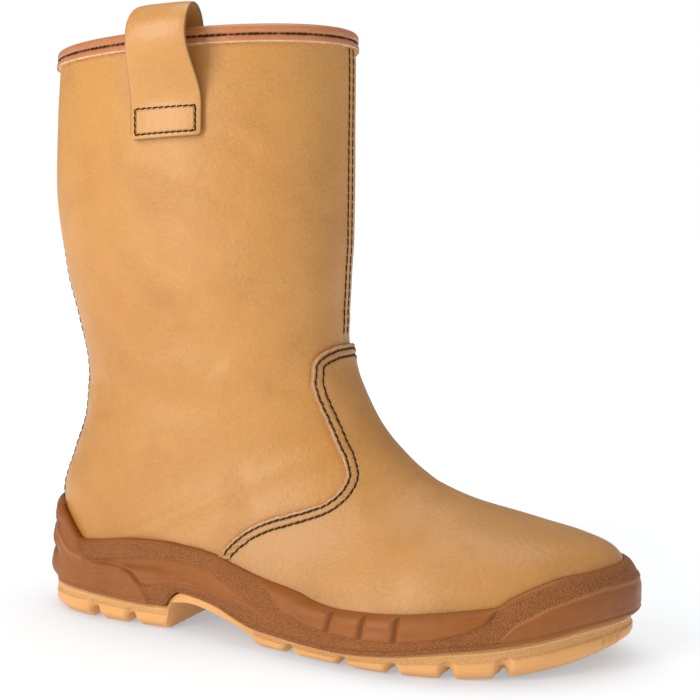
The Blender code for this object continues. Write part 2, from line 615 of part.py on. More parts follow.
def skin_offsets(tree, ring, out, heights):
    """How far the upper's skin stands outside the feather line, seen at given heights."""
    offsets = np.zeros_like(heights)
    reach = 4 * SOLE_EDGE
    for k, (spot, way) in enumerate(zip(ring, out)):
        feather = spot - way * SOLE_EDGE
        for r in range(heights.shape[0]):
            start = Vector((*(spot + way * reach), heights[r, k]))
            hit = tree.ray_cast(start, Vector((-way[0], -way[1], 0)), 2 * reach)[0]
            if hit is not None:
                offsets[r, k] = (np.array(hit[:2]) - feather) @ way
    return offsets


def build_midsole(last, forms, boot):
    """The darker layer: a tub that wraps the foot, with its bands, pads and heel wrap."""
    ring, out = outline_ring(sole_stations())
    x = ring[:, 0]
    relief = side_relief(x)
    base = height(LAYER_LINE, x) + SEAT_GAP
    top = height(WALL_TOP, x)
    step = BEVEL
    low = np.clip(relief["low"], base + 2 * step, top)
    mid = np.clip(relief["mid"], low + 2 * step, top - 8 * step)
    high = np.clip(relief["high"], mid + 4 * step, top - 3 * step)
    levels = [(base, relief["strip"]), (low - step, relief["strip"]), (low + step, relief["panel"]),
              (mid - step, relief["panel"]), (mid + step, relief["band"])]
    for share in (0.33, 0.66):
        levels.append((mid + step + (high - mid - 2 * step) * share, relief["band"]))
    levels += [(high - step, relief["band"]), (high + step, relief["pad"]), (top - step, relief["pad"])]
    heights = np.array([level for level, _ in levels])
    points, faces = lattice(last)[:2]
    tree = BVHTree.FromPolygons([tuple(p) for p in points], faces)
    skin = skin_offsets(tree, ring, out, np.maximum(heights, floor_height(x) + HEM))
    skin += np.where(x > VAMP_EDGE[-1].along * SOLE_LENGTH, 2 * SEAT_GAP + VAMP_LEATHER, SEAT_GAP)
    rings = []
    for r, (level, stand) in enumerate(levels):
        rise = np.clip((level - low) / (top - low), 0, 1)
        thick = SOLE_EDGE + (LIP - SOLE_EDGE) * rise ** 1.5 - BASE_INSET * (r == 0)
        away = skin[r] + thick - SOLE_EDGE + stand
        rings.append(np.column_stack([ring + out * away[:, None], level]))
    rings[0][:, 2] = height(LAYER_LINE, rings[0][:, 0]) + SEAT_GAP
    rings.append(rings[-1] - np.column_stack([out * step, np.full(len(x), -step)]))
    points, faces = ring_solid(rings, (0, len(rings) - 1))
    finish = material("midsole_rubber", (0.42, 0.17, 0.065), 0.6)
    midsole = add_object("midsole", points, faces, finish, boot)
    for form in forms:
        cut_with(midsole, form, "DIFFERENCE")
    return midsole


def tread_height(x):
    """The underside of the tread before its grooves are cut."""
    share = x / SOLE_LENGTH
    arch = height(ARCH_LINE, x)
    waist = (share > BREAST / SOLE_LENGTH) & (share < FOREFOOT_START)
    return np.where(waist, arch, spring(x))


def build_outsole(boot):
    """The pale tread layer: heel block, thin waist, and lugs parted by grooves."""
    share = sole_stations()
    share = np.array(sorted([s for s in share if abs(s - FOREFOOT_START) > STATION_GAP]
                            + [FOREFOOT_START - ARCH_STEP, FOREFOOT_START + ARCH_STEP]))
    ring, out = outline_ring(share)
    x = ring[:, 0]
    top = height(LAYER_LINE, x)
    low = tread_height(x)
    deep = top - low
    levels = ((1.0, -TREAD_TUCK), (0.8, 0.0), (0.35, TREAD_WAIST), (0.0, -TREAD_BEVEL))
    rings = [np.column_stack([ring + out * away, low + deep * rise]) for rise, away in levels]
    rings[0][:, 2] = height(LAYER_LINE, rings[0][:, 0])
    points, faces = ring_solid(rings, (0, len(rings) - 1))
    finish = material("outsole_rubber", (0.80, 0.46, 0.20), 0.55)
    outsole = add_object("outsole", points, faces, finish, boot)
    for number, groove in enumerate(HEEL_GROOVES + FOREFOOT_GROOVES):
        middle = groove * SOLE_LENGTH
        half = GROOVE_WIDTH / 2
        reach = 0.7 * BALL_WIDTH
        outline = [(middle - half, -reach), (middle + half, -reach), (middle + half, reach),
                   (middle - half, reach)]
        high = [float(spring(p[0])) + GROOVE_DEPTH for p in outline]
        corners = [(*p, -GROOVE_DEPTH) for p in outline] + [(*p, h) for p, h in zip(outline, high)]
        count = len(outline)
        faces = [tuple(range(count))[::-1], tuple(range(count, 2 * count))]
        faces += [(k, (k + 1) % count, count + (k + 1) % count, count + k) for k in range(count)]
        cut_with(outsole, guide(f"groove_{number}", corners, faces, boot), "DIFFERENCE")
    return outsole


def build_insole(last, boot):
    """The board inside the boot, on which the foot stands."""
    points, _, normals, _, hem = lattice(last)
    edge = [pair[0] for pair in hem] + [pair[1] for pair in hem[-2:0:-1]]
    rings = []
    for inset, rise in ((1.0, 0.0), (1.2, 0.5), (2.0, 1.0)):
        ring = points[edge] - normals[edge] * (LEATHER + INSOLE_PLAY * inset)
        rings.append(ring + np.array([0, 0, INSOLE * rise]))
    points, faces = ring_solid(rings, (0, 2))
    return add_object("insole", points, faces, material("insole_board", (0.62, 0.58, 0.52), 0.9), boot)


def collar_frame(last, around):
    """Point, outward and upward directions at a spot on the shaft's top edge."""
    spot = last.point(0.0, around % 1.0)
    ahead = last.point(0.0, (around + TURN_STEP) % 1.0) - last.point(0.0, (around - TURN_STEP) % 1.0)
    up = spot - last.point(RISE_STEP, around % 1.0)
    up /= np.linalg.norm(up)
    out = np.cross(ahead, up)
    return spot, out / np.linalg.norm(out), up


def build_binding(last, boot):
    """The bound collar: a folded strip with a round bead over the shaft's top edge."""
    outer, inner = SEAT_GAP, -LEATHER - SEAT_GAP
    middle = (outer + inner) / 2
    profile = [(outer + BINDING, -BINDING_DROP), (outer + BINDING, -0.4 * BINDING_DROP)]
    for turn in np.linspace(-20, 200, 8):
        angle = math.radians(turn)
        profile.append((middle + 1.1 * BINDING_BEAD * math.cos(angle),
                        0.45 * BINDING_BEAD + BINDING_BEAD * math.sin(angle)))
    profile += [(inner - BINDING, -0.4 * BINDING_DROP), (inner - BINDING, -BINDING_DROP),
                (inner, -BINDING_DROP), (inner, GAP), (outer, GAP), (outer, -BINDING_DROP)]
    points = []
    for k in range(AROUND):
        spot, out, up = collar_frame(last, k / AROUND)
        points.extend(spot + out * n + up * h for n, h in profile)
    count = len(profile)
    faces = []
    for k in range(AROUND):
        a, b = k * count, ((k + 1) % AROUND) * count
        faces += [(a + m, b + m, b + (m + 1) % count, a + (m + 1) % count) for m in range(count)]
    finish = material("binding_leather", (0.56, 0.25, 0.13), 0.5)
    return add_object("collar_binding", points, faces, finish, boot)


def strap_path():
    """The strap's middle line across the collar: height over the edge and stand off it."""
    outer = SEAT_GAP + STRAP / 2
    inner = -LEATHER - LINING - STRAP / 2
    middle = (outer + HOOP_STAND + inner - HOOP_INSIDE) / 2
    radius = outer + HOOP_STAND - middle
    path = [(-STRAP_DROP, outer), (-STRAP_DROP + STRAP_SEAT, outer)]
    foot, top = -STRAP_DROP + STRAP_SEAT, HOOP_RISE - STRAP / 2 - radius
    for share in (0.2, 0.4, 0.6, 0.8, 1.0):
        path.append((foot + (top - foot) * share, outer + HOOP_STAND * share * share * (3 - 2 * share)))
    for turn in range(1, 8):
        angle = math.pi * turn / 8
        path.append((top + radius * math.sin(angle), middle + radius * math.cos(angle)))
    for share in (1.0, 0.8, 0.6, 0.4, 0.2):
        path.append((foot + (top - foot) * share,
                     inner - HOOP_INSIDE * share * share * (3 - 2 * share)))
    path += [(-STRAP_DROP + STRAP_SEAT, inner), (-STRAP_DROP, inner)]
    return path


def build_pull_loop(last, name, around, boot):
    """A leather strap sewn outside and inside the collar, standing up as a hoop."""
    path = strap_path()
    across = (-1.0, -0.5, 0.0, 0.5, 1.0)
    near = last.point(0.0, around + SPAN_STEP) - last.point(0.0, around - SPAN_STEP)
    per_metre = 2 * SPAN_STEP / np.linalg.norm(near)
    points = []
    for up, stand in path:
        neck = np.clip((up + STRAP_DROP - STRAP_SEAT) / (STRAP_DROP - STRAP_SEAT), 0, 1)
        width = STRAP_WIDTH + (STRAP_NECK - STRAP_WIDTH) * neck * neck * (3 - 2 * neck)
        for side in across:
            at = around + side * width / 2 * per_metre
            spot, out, rise = collar_frame(last, at)
            if up < 0:
                drop = DROP_REACH * -up / np.linalg.norm(last.point(DROP_REACH, at) - spot)
                spot, below = last.point(drop, at), last.point(drop + DROP_STEP, at)
                rise = (spot - below) / np.linalg.norm(spot - below)
                ahead = last.point(drop, at + TURN_STEP) - last.point(drop, at - TURN_STEP)
                out = np.cross(ahead, rise)
                out /= np.linalg.norm(out)
                points.append(spot + out * stand)
            else:
                points.append(spot + rise * up + out * stand)
    count = len(across)
    index = [list(range(r * count, (r + 1) * count)) for r in range(len(path))]
    points = np.array(points)
    faces = grid_faces(index)
    normals = sheet_normals(points, faces)
    solid, sides = thicken(points, faces, normals, -STRAP / 2, STRAP / 2)
    return add_object(name, solid, sides, material(name + "_leather", (0.68, 0.40, 0.19), 0.5), boot)


def build():
    """Clear the scene and make every piece of the boot."""
    for item in list(bpy.data.objects):
        bpy.data.objects.remove(item, do_unlink=True)
    boot = bpy.data.objects.new("boot", None)
    boot.location = (-HEEL_REST, 0, 0)
    bpy.context.scene.collection.objects.link(boot)
    last = Last()

    points, faces, normals = lattice(last)[:3]
    solid, sides = thicken(points, faces, normals, -LEATHER, 0.0)
    finish = material("upper_leather", (0.74, 0.44, 0.22), 0.5)
    add_object("upper", above_floor(solid), sides, finish, boot)
    points, faces, normals, _, hem = lattice(last, VAMP_TOP)
    solid, sides = thicken(points, faces, normals, SEAT_GAP, SEAT_GAP + VAMP_LEATHER)
    finish = material("vamp_leather", (0.60, 0.32, 0.12), 0.45)
    vamp = add_object("vamp", above_floor(solid), sides, finish, boot)
    cut_with(vamp, side_cutter("vamp_outline", vamp_prism(0.0), boot), "INTERSECT")

    last_guide = guide("last_guide", *last_form(last, SEAT_GAP), boot)
    points[np.unique(hem), 2] -= HEM
    solid, sides = thicken(points, faces, normals, -LEATHER, 2 * SEAT_GAP + VAMP_LEATHER)
    vamp_guide = guide("vamp_guide", above_floor(solid, 2 * GAP), sides, boot)
    cut_with(vamp_guide, side_cutter("vamp_room", vamp_prism(GAP), boot), "INTERSECT")
    build_midsole(last, (last_guide, vamp_guide), boot)
    build_outsole(boot)
    build_insole(last, boot)
    build_binding(last, boot)
    build_pull_loop(last, "pull_loop_lateral", LOOP_PLACE, boot)
    build_pull_loop(last, "pull_loop_medial", 1 - LOOP_PLACE, boot)


build()
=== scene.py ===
"""Rigger boot for the right foot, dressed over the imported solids.

The leather skins, the bound collar, the pull loops, the fleece lining, the stitching and
the moulded sole are built finely here, from the same sizes as the solids.
"""
import logging
import math
from collections import namedtuple
from dataclasses import dataclass
from enum import Enum
from typing import Any, Iterable, Optional, Sequence

import bmesh
import bpy
import numpy as np
from mathutils import Matrix, Vector
from mathutils.bvhtree import BVHTree
from mathutils.kdtree import KDTree


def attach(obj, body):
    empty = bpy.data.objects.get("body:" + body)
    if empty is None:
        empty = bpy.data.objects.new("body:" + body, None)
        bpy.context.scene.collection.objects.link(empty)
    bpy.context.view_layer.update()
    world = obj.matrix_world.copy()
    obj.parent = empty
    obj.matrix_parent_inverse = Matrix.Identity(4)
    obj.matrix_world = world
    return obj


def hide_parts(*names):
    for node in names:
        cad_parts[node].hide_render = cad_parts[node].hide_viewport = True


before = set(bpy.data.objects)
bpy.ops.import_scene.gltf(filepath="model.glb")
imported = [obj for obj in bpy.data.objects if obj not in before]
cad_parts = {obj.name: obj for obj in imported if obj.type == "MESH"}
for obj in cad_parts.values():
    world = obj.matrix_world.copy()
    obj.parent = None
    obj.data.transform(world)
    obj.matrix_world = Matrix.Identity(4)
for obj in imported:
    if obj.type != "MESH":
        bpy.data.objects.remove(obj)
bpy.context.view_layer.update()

LOG = logging.getLogger("boot")
Array = np.ndarray
SEED = 41
LOOK = "_look"

# Sizes shared with the solids, in metres
SOLE_LENGTH, BALL_WIDTH, SHAFT_HEIGHT = 0.302, 0.104, 0.278
COLLAR_LENGTH, COLLAR_WIDTH, COLLAR_BACK, COLLAR_RISE = 0.151, 0.107, 0.012, 0.004
ANKLE_HEIGHT, ANKLE_WIDTH, INSTEP_HEIGHT, TOE_HEIGHT = 0.122, 0.083, 0.112, 0.057
HEEL_REST = 0.055
HEEL_HEIGHT, BALL_HEIGHT, TOE_SPRING, SPRING_START = 0.027, 0.019, 0.010, 0.235
SOLE_EDGE, HEEL_WRAP, SIDE_WALL, BALL_WALL, TOE_WALL = 0.007, 0.0565, 0.044, 0.026, 0.046
LIP, TREAD_LAYER, BREAST, GROOVE_DEPTH, GROOVE_WIDTH = 0.0026, 0.012, 0.088, 0.0045, 0.0035
LEATHER, VAMP_LEATHER, LINING, SEAT_GAP = 0.002, 0.0016, 0.003, 0.00045
BINDING, BINDING_DROP, BINDING_BEAD = 0.0012, 0.0048, 0.0024
STRAP, STRAP_WIDTH, STRAP_NECK, STRAP_DROP, STRAP_SEAT = 0.0025, 0.0345, 0.026, 0.046, 0.015
HOOP_RISE, HOOP_STAND, HOOP_INSIDE, LOOP_PLACE = 0.0145, 0.0125, 0.006, 0.277
VAMP_TOP = 0.4
ROUNDS = 240
MILLIMETRE = 0.001
ARC_STEPS, OUTLINE_STEPS, CURVE_STEPS = 200, 720, 16
COVER_RUN = 0.15

Triple = tuple[float, float, float]

Mark = namedtuple("Mark", "along across")
OUTLINE = tuple(Mark(*row) for row in (
    (0.0125, 0.000), (0.034, -0.183), (0.092, -0.313), (0.199, -0.359), (0.331, -0.364),
    (0.464, -0.423), (0.570, -0.488), (0.679, -0.529), (0.781, -0.484), (0.868, -0.380),
    (0.936, -0.216), (0.977, -0.029), (0.992, 0.125), (0.976, 0.279), (0.922, 0.385),
    (0.842, 0.462), (0.745, 0.481), (0.649, 0.440), (0.546, 0.356), (0.447, 0.306),
    (0.348, 0.311), (0.248, 0.341), (0.149, 0.344), (0.073, 0.284), (0.031, 0.163)))

Section = namedtuple("Section", "place front front_up lateral medial belly low high ridge")
LEG = SHAFT_HEIGHT - INSTEP_HEIGHT
RIDGE = INSTEP_HEIGHT - TOE_HEIGHT
# Shares of the sizes above, one row a section, down the shin and along the instep to the toe
SHIN = ((0.13, 1.001, 0.81, 0.50, 0.50, 0.50, 2.05, 2.05, 0.0),
        (0.25, 1.001, 0.645, 0.49, 0.49, 0.50, 2.1, 2.1, 0.0),
        (0.43, 1.000, 0.40, 0.45, 0.45, 0.50, 2.15, 2.15, 0.0))
ANKLE = ((0.52, 1.000, 0.285, 0.54, 0.54, 0.50, 2.2, 2.2, 0.001),
         (0.62, 1.000, 0.19, 0.50, 0.50, 0.50, 2.3, 2.25, 0.002),
         (0.71, 1.005, 0.125, 0.485, 0.48, 0.50, 2.35, 2.3, 0.003),
         (0.79, 1.016, 0.08, 0.475, 0.47, 0.50, 2.4, 2.3, 0.004),
         (0.89, 1.036, 0.04, 0.465, 0.46, 0.48, 2.5, 2.3, 0.004))
BEND = ((1.00, 0.568, 1.0, 0.455, 0.45, 0.45, 2.5, 2.3, 0.005),)
INSTEP = ((1.12, 0.588, 0.815, 0.32, 0.31, 0.42, 2.5, 2.3, 0.005),
          (1.25, 0.618, 0.625, 0.25, 0.23, 0.36, 2.5, 2.3, 0.005),
          (1.40, 0.669, 0.395, 0.24, 0.22, 0.28, 2.4, 2.25, 0.005),
          (1.55, 0.748, 0.20, 0.22, 0.20, 0.24, 2.3, 2.2, 0.005),
          (1.70, 0.844, 0.07, 0.17, 0.16, 0.24, 2.3, 2.25, 0.007))
TOE = ((1.80, 0.912, 1.00, 0.14, 0.13, 0.24, 2.3, 2.3, 0.008),
       (1.88, 0.957, 0.92, 0.10, 0.10, 0.24, 2.3, 2.3, 0.010),
       (1.94, 0.977, 0.80, 0.07, 0.07, 0.24, 2.3, 2.3, 0.012),
       (1.97, 0.981, 0.65, 0.04, 0.04, 0.24, 2.3, 2.3, 0.0125))
COLLAR = Section(0.00, COLLAR_BACK + COLLAR_LENGTH, SHAFT_HEIGHT + COLLAR_RISE,
                 0.50 * COLLAR_WIDTH, 0.50 * COLLAR_WIDTH, 0.50, 2.05, 2.05, 0.0)
SECTIONS = (COLLAR,) + tuple(
    Section(place, back + front * length, foot + up * rise, lateral * width, medial * width, *shape)
    for rows, back, length, foot, rise, width in (
        (SHIN, COLLAR_BACK, COLLAR_LENGTH, INSTEP_HEIGHT, LEG, COLLAR_WIDTH),
        (ANKLE, COLLAR_BACK, COLLAR_LENGTH, INSTEP_HEIGHT, LEG, ANKLE_WIDTH),
        (BEND, 0.0, SOLE_LENGTH, 0.0, INSTEP_HEIGHT, ANKLE_WIDTH),
        (INSTEP, 0.0, SOLE_LENGTH, TOE_HEIGHT, RIDGE, BALL_WIDTH),
        (TOE, 0.0, SOLE_LENGTH, 0.0, TOE_HEIGHT, BALL_WIDTH))
    for place, front, up, lateral, medial, *shape in rows)

Seam = namedtuple("Seam", "place along up")
BACK_SEAM = (
    Seam(0.00, COLLAR_BACK, SHAFT_HEIGHT - COLLAR_RISE),
    Seam(0.13, 0.80 * COLLAR_BACK, ANKLE_HEIGHT + 0.78 * (SHAFT_HEIGHT - ANKLE_HEIGHT)),
    Seam(0.25, 0.74 * COLLAR_BACK, ANKLE_HEIGHT + 0.59 * (SHAFT_HEIGHT - ANKLE_HEIGHT)),
    Seam(0.43, 1.19 * COLLAR_BACK, ANKLE_HEIGHT + 0.31 * (SHAFT_HEIGHT - ANKLE_HEIGHT)),
    Seam(0.52, 1.72 * COLLAR_BACK, ANKLE_HEIGHT + 0.165 * (SHAFT_HEIGHT - ANKLE_HEIGHT)),
    Seam(0.62, 2.18 * COLLAR_BACK, ANKLE_HEIGHT),
    Seam(0.71, 2.05 * COLLAR_BACK, 0.82 * ANKLE_HEIGHT),
    Seam(0.79, 1.46 * COLLAR_BACK, 0.655 * ANKLE_HEIGHT),
    Seam(0.89, 0.85 * COLLAR_BACK, 0.455 * ANKLE_HEIGHT),
)

Height = namedtuple("Height", "along up")
FLOOR_LINE = (
    Height(0.00, HEEL_HEIGHT), Height(0.22, HEEL_HEIGHT), Height(0.32, 0.93 * HEEL_HEIGHT),
    Height(0.45, 0.72 * HEEL_HEIGHT), Height(0.60, BALL_HEIGHT), Height(1.00, BALL_HEIGHT),
)
WALL_TOP = tuple(Height(along, up * size) for size, rows in (
    (HEEL_WRAP, ((0.000, 1.0), (0.030, 0.98), (0.070, 0.87), (0.098, 0.75))),
    (SIDE_WALL, ((0.117, 0.88), (0.150, 0.91), (0.230, 0.99), (0.285, 1.0), (0.345, 0.965), (0.405, 0.875),
                 (0.470, 0.755))),
    (BALL_WALL, ((0.530, 1.16), (0.575, 1.04), (0.610, 1.0), (0.660, 1.02), (0.715, 1.065), (0.790, 1.17))),
    (TOE_WALL, ((0.843, 0.71), (0.862, 0.79), (0.896, 0.89), (0.930, 0.96), (1.000, 1.0))),
) for along, up in rows)
# Where the pale tread layer meets the darker midsole
LAYER_LINE = tuple(Height(along, up * TREAD_LAYER) for along, up in (
    (0.000, 1.25), (0.100, 1.20), (0.200, 1.05), (0.285, 0.98), (0.303, 1.48), (0.315, 1.62), (0.345, 1.53),
    (0.407, 1.18), (0.467, 0.76), (0.600, 0.60), (0.687, 0.77), (0.782, 1.13), (0.833, 1.29), (0.900, 1.58),
    (0.950, 1.83), (1.000, 1.90)))
# The underside of the waist, between the heel's breast and the first forefoot lug
ARCH_LINE = tuple(Height(along, up * TREAD_LAYER) for along, up in (
    (0.298, 1.15), (0.325, 1.22), (0.407, 0.80), (0.452, 0.40)))
FOREFOOT_START = 0.455
HEEL_GROOVES = (0.148, 0.221)
FOREFOOT_GROOVES = (0.520, 0.616, 0.698, 0.778, 0.853)
# The vamp's edge, drawn in side view from the tongue's top down to the sole
VAMP_EDGE = tuple(Height(along, up * INSTEP_HEIGHT) for along, up in (
    (0.5315, 1.228), (0.5182, 1.196), (0.5110, 1.152), (0.5103, 1.096), (0.5175, 1.013), (0.5318, 0.924),
    (0.5490, 0.838), (0.5670, 0.756), (0.5750, 0.698), (0.5680, 0.647), (0.5464, 0.598), (0.5050, 0.558),
    (0.4580, 0.515), (0.4295, 0.472), (0.3990, 0.397), (0.3760, 0.300)))


def smooth(stations: Array, values: Array, at: Array) -> Array:
    """Read a table as a curve that keeps its rises and falls, with no overshoot.

    Args:
        stations: where the table gives values.
        values: its values.
        at: where to read it.

    Returns:
        The curve's values there.
    """
    s, v, a = (np.asarray(item, float) for item in (stations, values, at))
    run = np.diff(s)
    rate = np.diff(v) / run
    slope = np.zeros_like(v)
    same = rate[:-1] * rate[1:] > 0
    blend = 2 * rate[:-1] * rate[1:] / np.where(same, rate[:-1] + rate[1:], 1)
    slope[1:-1] = np.where(same, blend, 0)
    slope[0], slope[-1] = rate[0], rate[-1]
    i = np.clip(np.searchsorted(s, a, side="right") - 1, 0, len(run) - 1)
    t = np.clip((a - s[i]) / run[i], 0, 1)
    rise = v[i + 1] - v[i]
    return (v[i] + rise * t * t * (3 - 2 * t)
            + run[i] * t * (1 - t) * (slope[i] * (1 - t) - slope[i + 1] * t))


def column(table: Sequence, name: str) -> Array:
    """One named column of a table, as an array."""
    return np.array([getattr(row, name) for row in table], float)


def height(table: Sequence, x: Array) -> Array:
    """Height of one of the sole's lines above the floor, at distance x from the heel."""
    share = np.asarray(x, float) / SOLE_LENGTH
    return smooth(column(table, "along"), column(table, "up"), share)


def spring(x: Array) -> Array:
    """How far the toe lifts off the floor at distance x from the heel."""
    run = (np.asarray(x, float) - SPRING_START) / (SOLE_LENGTH - SPRING_START)
    return TOE_SPRING * np.clip(run, 0, 1) ** 2


def floor_height(x: Array) -> Array:
    """Top of the sole inside the boot, on which the upper's lower edge stands."""
    return height(FLOOR_LINE, x) + spring(x)


def closed_curve(points: Sequence, count: int) -> Array:
    """Even points along a smooth closed curve through the given corners.

    Args:
        points: the corners.
        count: how many points to make.

    Returns:
        The points.
    """
    ring = np.array(points, float)
    before, after = np.roll(ring, 1, axis=0), np.roll(ring, -1, axis=0)
    tangent = (after - before) / 2
    t = np.linspace(0, 1, CURVE_STEPS, endpoint=False)[:, None]
    pieces = []
    for i in range(len(ring)):
        j = (i + 1) % len(ring)
        pieces.append((1 + 2 * t) * (1 - t) ** 2 * ring[i] + t * (1 - t) ** 2 * tangent[i]
                      + t * t * (3 - 2 * t) * ring[j] - t * t * (1 - t) * tangent[j])
    fine = np.vstack(pieces + [ring[:1]])
    length = np.concatenate([[0], np.cumsum(np.linalg.norm(np.diff(fine, axis=0), axis=1))])
    at = np.linspace(0, length[-1], count, endpoint=False)
    return np.stack([np.interp(at, length, fine[:, k]) for k in range(2)], axis=1)


def outline_branches(inset: float) -> tuple[Array, Array]:
    """The sole's outline moved inwards, as its lateral and its medial branch.

    Args:
        inset: how far inwards, in metres.

    Returns:
        Both branches, from heel to toe.
    """
    ring = closed_curve([(m.along * SOLE_LENGTH, m.across * BALL_WIDTH) for m in OUTLINE], OUTLINE_STEPS)
    along = np.roll(ring, -1, axis=0) - np.roll(ring, 1, axis=0)
    along /= np.linalg.norm(along, axis=1)[:, None]
    moved = ring + inset * np.stack([-along[:, 1], along[:, 0]], axis=1)
    back, tip = int(np.argmin(moved[:, 0])), int(np.argmax(moved[:, 0]))
    moved = np.roll(moved, -back, axis=0)
    tip = (tip - back) % len(moved)
    return moved[:tip + 1], np.vstack([moved[tip:], moved[:1]])[::-1]


def outline_at(branches: tuple[Array, Array], share: Array) -> tuple[Array, Array, Array]:
    """Points of both branches at a share of the way from heel to toe, close at both ends.

    Args:
        branches: the outline's two branches.
        share: shares of the way.

    Returns:
        Distances from the back of the heel, and both branches' offsets.
    """
    lateral, medial = branches
    back, tip = lateral[0, 0], lateral[-1, 0]
    x = back + (tip - back) * (1 - np.cos(np.pi * np.asarray(share, float))) / 2
    y_lateral = np.interp(x, np.maximum.accumulate(lateral[:, 0]), lateral[:, 1])
    y_medial = np.interp(x, np.maximum.accumulate(medial[:, 0]), medial[:, 1])
    return x, y_lateral, y_medial


class Last:
    """The outer surface of the upper, as slices of a fan from the collar to the toe."""

    def __init__(self) -> None:
        """Work out the slices and the grid of points on them."""
        self.feather = outline_branches(SOLE_EDGE)
        self.places = np.concatenate([np.linspace(0, 1, ROUNDS // 2, endpoint=False),
                                      np.linspace(1, 2, ROUNDS // 2 + 1)])
        self.rounds = np.linspace(0, 1, ROUNDS + 1)
        self.back = self._back(self.places)
        self.front = self._front(self.places)
        self.grid = np.array([self._slice(i) for i in range(len(self.places))])

    def _back(self, places: Array) -> Array:
        """Where each slice starts: the back seam, then the line along the floor.

        Args:
            places: the slices' places.

        Returns:
            Distance, height, middle and half width of each start.
        """
        x, y_lateral, y_medial = outline_at(self.feather, np.clip(places - 1, 0, 1))
        corner = Seam(1.0, self.feather[0][0, 0], float(floor_height(self.feather[0][0, 0])))
        seam = BACK_SEAM + (corner,)
        on_leg = places < 1
        along = smooth(column(seam, "place"), column(seam, "along"), np.minimum(places, 1))
        up = smooth(column(seam, "place"), column(seam, "up"), np.minimum(places, 1))
        return np.stack([np.where(on_leg, along, x), np.where(on_leg, up, floor_height(x)),
                         (y_lateral + y_medial) / 2, (y_medial - y_lateral) / 2], axis=1)

    def _front(self, places: Array) -> dict[str, Array]:
        """Where each slice ends: the shin, the instep ridge and the toe.

        Args:
            places: the slices' places.

        Returns:
            The sections' values there, by name.
        """
        tip = self.feather[0][-1]
        last = Section(2.0, tip[0], float(floor_height(tip[0])), 0, 0, *SECTIONS[-1][5:8], tip[1])
        rows = SECTIONS + (last,)
        names = Section._fields[1:]
        front = {name: smooth(column(rows, "place"), column(rows, name), places) for name in names}
        ahead = np.gradient(np.stack([front["front"], front["front_up"]], axis=1), axis=0)
        ahead /= np.linalg.norm(ahead, axis=1)[:, None]
        cover = np.interp(places, (VAMP_TOP, VAMP_TOP + COVER_RUN, SECTIONS[-2].place, 2.0), (0, 1, 1, 0))
        cover *= SEAT_GAP + VAMP_LEATHER
        front["front"] = front["front"] + cover * ahead[:, 1]
        front["front_up"] = front["front_up"] - cover * ahead[:, 0]
        return front

    def _slice(self, i: int) -> Array:
        """One slice: from the lateral sole over the front to the medial sole.

        Args:
            i: the slice's number.

        Returns:
            Its points.
        """
        x, z, middle, half = self.back[i]
        row = {name: values[i] for name, values in self.front.items()}
        sides = [self._side(x, z, middle, half, row, row[side], sign)
                 for side, sign in (("lateral", -1), ("medial", 1))]
        return np.vstack([sides[0], sides[1][::-1][1:]])

    def _side(self, x: float, z: float, middle: float, half: float, row: dict[str, float],
              bulge: float, sign: int) -> Array:
        """Half a slice, a pair of superellipse arcs that start at the given half width.

        Args:
            x: where the slice starts, from the back of the heel.
            z: its height there.
            middle: its middle there.
            half: its half width there.
            row: the section's values.
            bulge: its half width at the widest.
            sign: -1 on the lateral side.

        Returns:
            Even points from the start to the ridge.
        """
        wide = math.hypot(half, bulge) + 1e-9
        start = math.asin(min(half / wide, 1.0) ** (row["low"] / 2))
        angle = np.linspace(start, math.pi, ARC_STEPS)
        power = np.where(angle < math.pi / 2, row["low"], row["high"])
        reach = np.abs(np.cos(angle)) ** (2 / power)
        share = np.where(angle < math.pi / 2, row["belly"] * (1 - reach),
                         row["belly"] + (1 - row["belly"]) * reach)
        out = wide * np.sin(angle).clip(0) ** (2 / power)
        share = (share - share[0]) / (1 - share[0])
        line = np.stack([x + (row["front"] - x) * share,
                         middle + (row["ridge"] - middle) * share + sign * out,
                         z + (row["front_up"] - z) * share], axis=1)
        length = np.concatenate([[0], np.cumsum(np.linalg.norm(np.diff(line, axis=0), axis=1))])
        at = np.linspace(0, length[-1], ROUNDS // 2 + 1)
        return np.stack([np.interp(at, length, line[:, k]) for k in range(3)], axis=1)

    def point(self, place: Array, around: Array) -> Array:
        """Points of the surface, where around runs from 0 over the front at 0.5 to 1.

        Args:
            place: places of slices.
            around: shares of the way round them.

        Returns:
            The points.
        """
        place, around = np.broadcast_arrays(np.asarray(place, float), np.asarray(around, float))
        i = np.interp(place, self.places, np.arange(len(self.places)))
        j = around * ROUNDS
        i0 = np.minimum(i.astype(int), len(self.places) - 2)
        j0 = np.clip(j.astype(int), 0, ROUNDS - 1)
        u, v = (i - i0)[..., None], (j - j0)[..., None]
        g = self.grid
        return ((1 - u) * ((1 - v) * g[i0, j0] + v * g[i0, j0 + 1])
                + u * ((1 - v) * g[i0 + 1, j0] + v * g[i0 + 1, j0 + 1]))


def unit(vectors: Array) -> Array:
    """Vectors scaled to length one."""
    return vectors / np.maximum(np.linalg.norm(vectors, axis=-1, keepdims=True), 1e-12)


def ease(value: Array) -> Array:
    """A soft step from 0 to 1."""
    t = np.clip(value, 0, 1)
    return t * t * (3 - 2 * t)


def run_length(points: Array) -> Array:
    """Distance along a line of points, from its start to each of them."""
    return np.concatenate([[0], np.cumsum(np.linalg.norm(np.diff(points, axis=0), axis=1))])


def resample(points: Array, step: float) -> Array:
    """The same line with points at an even step.

    Args:
        points: the line's points.
        step: the wanted step.

    Returns:
        The new points.
    """
    length = run_length(points)
    at = np.linspace(0, length[-1], max(int(length[-1] / step), 2))
    return np.stack([np.interp(at, length, points[:, k]) for k in range(points.shape[1])], axis=1)


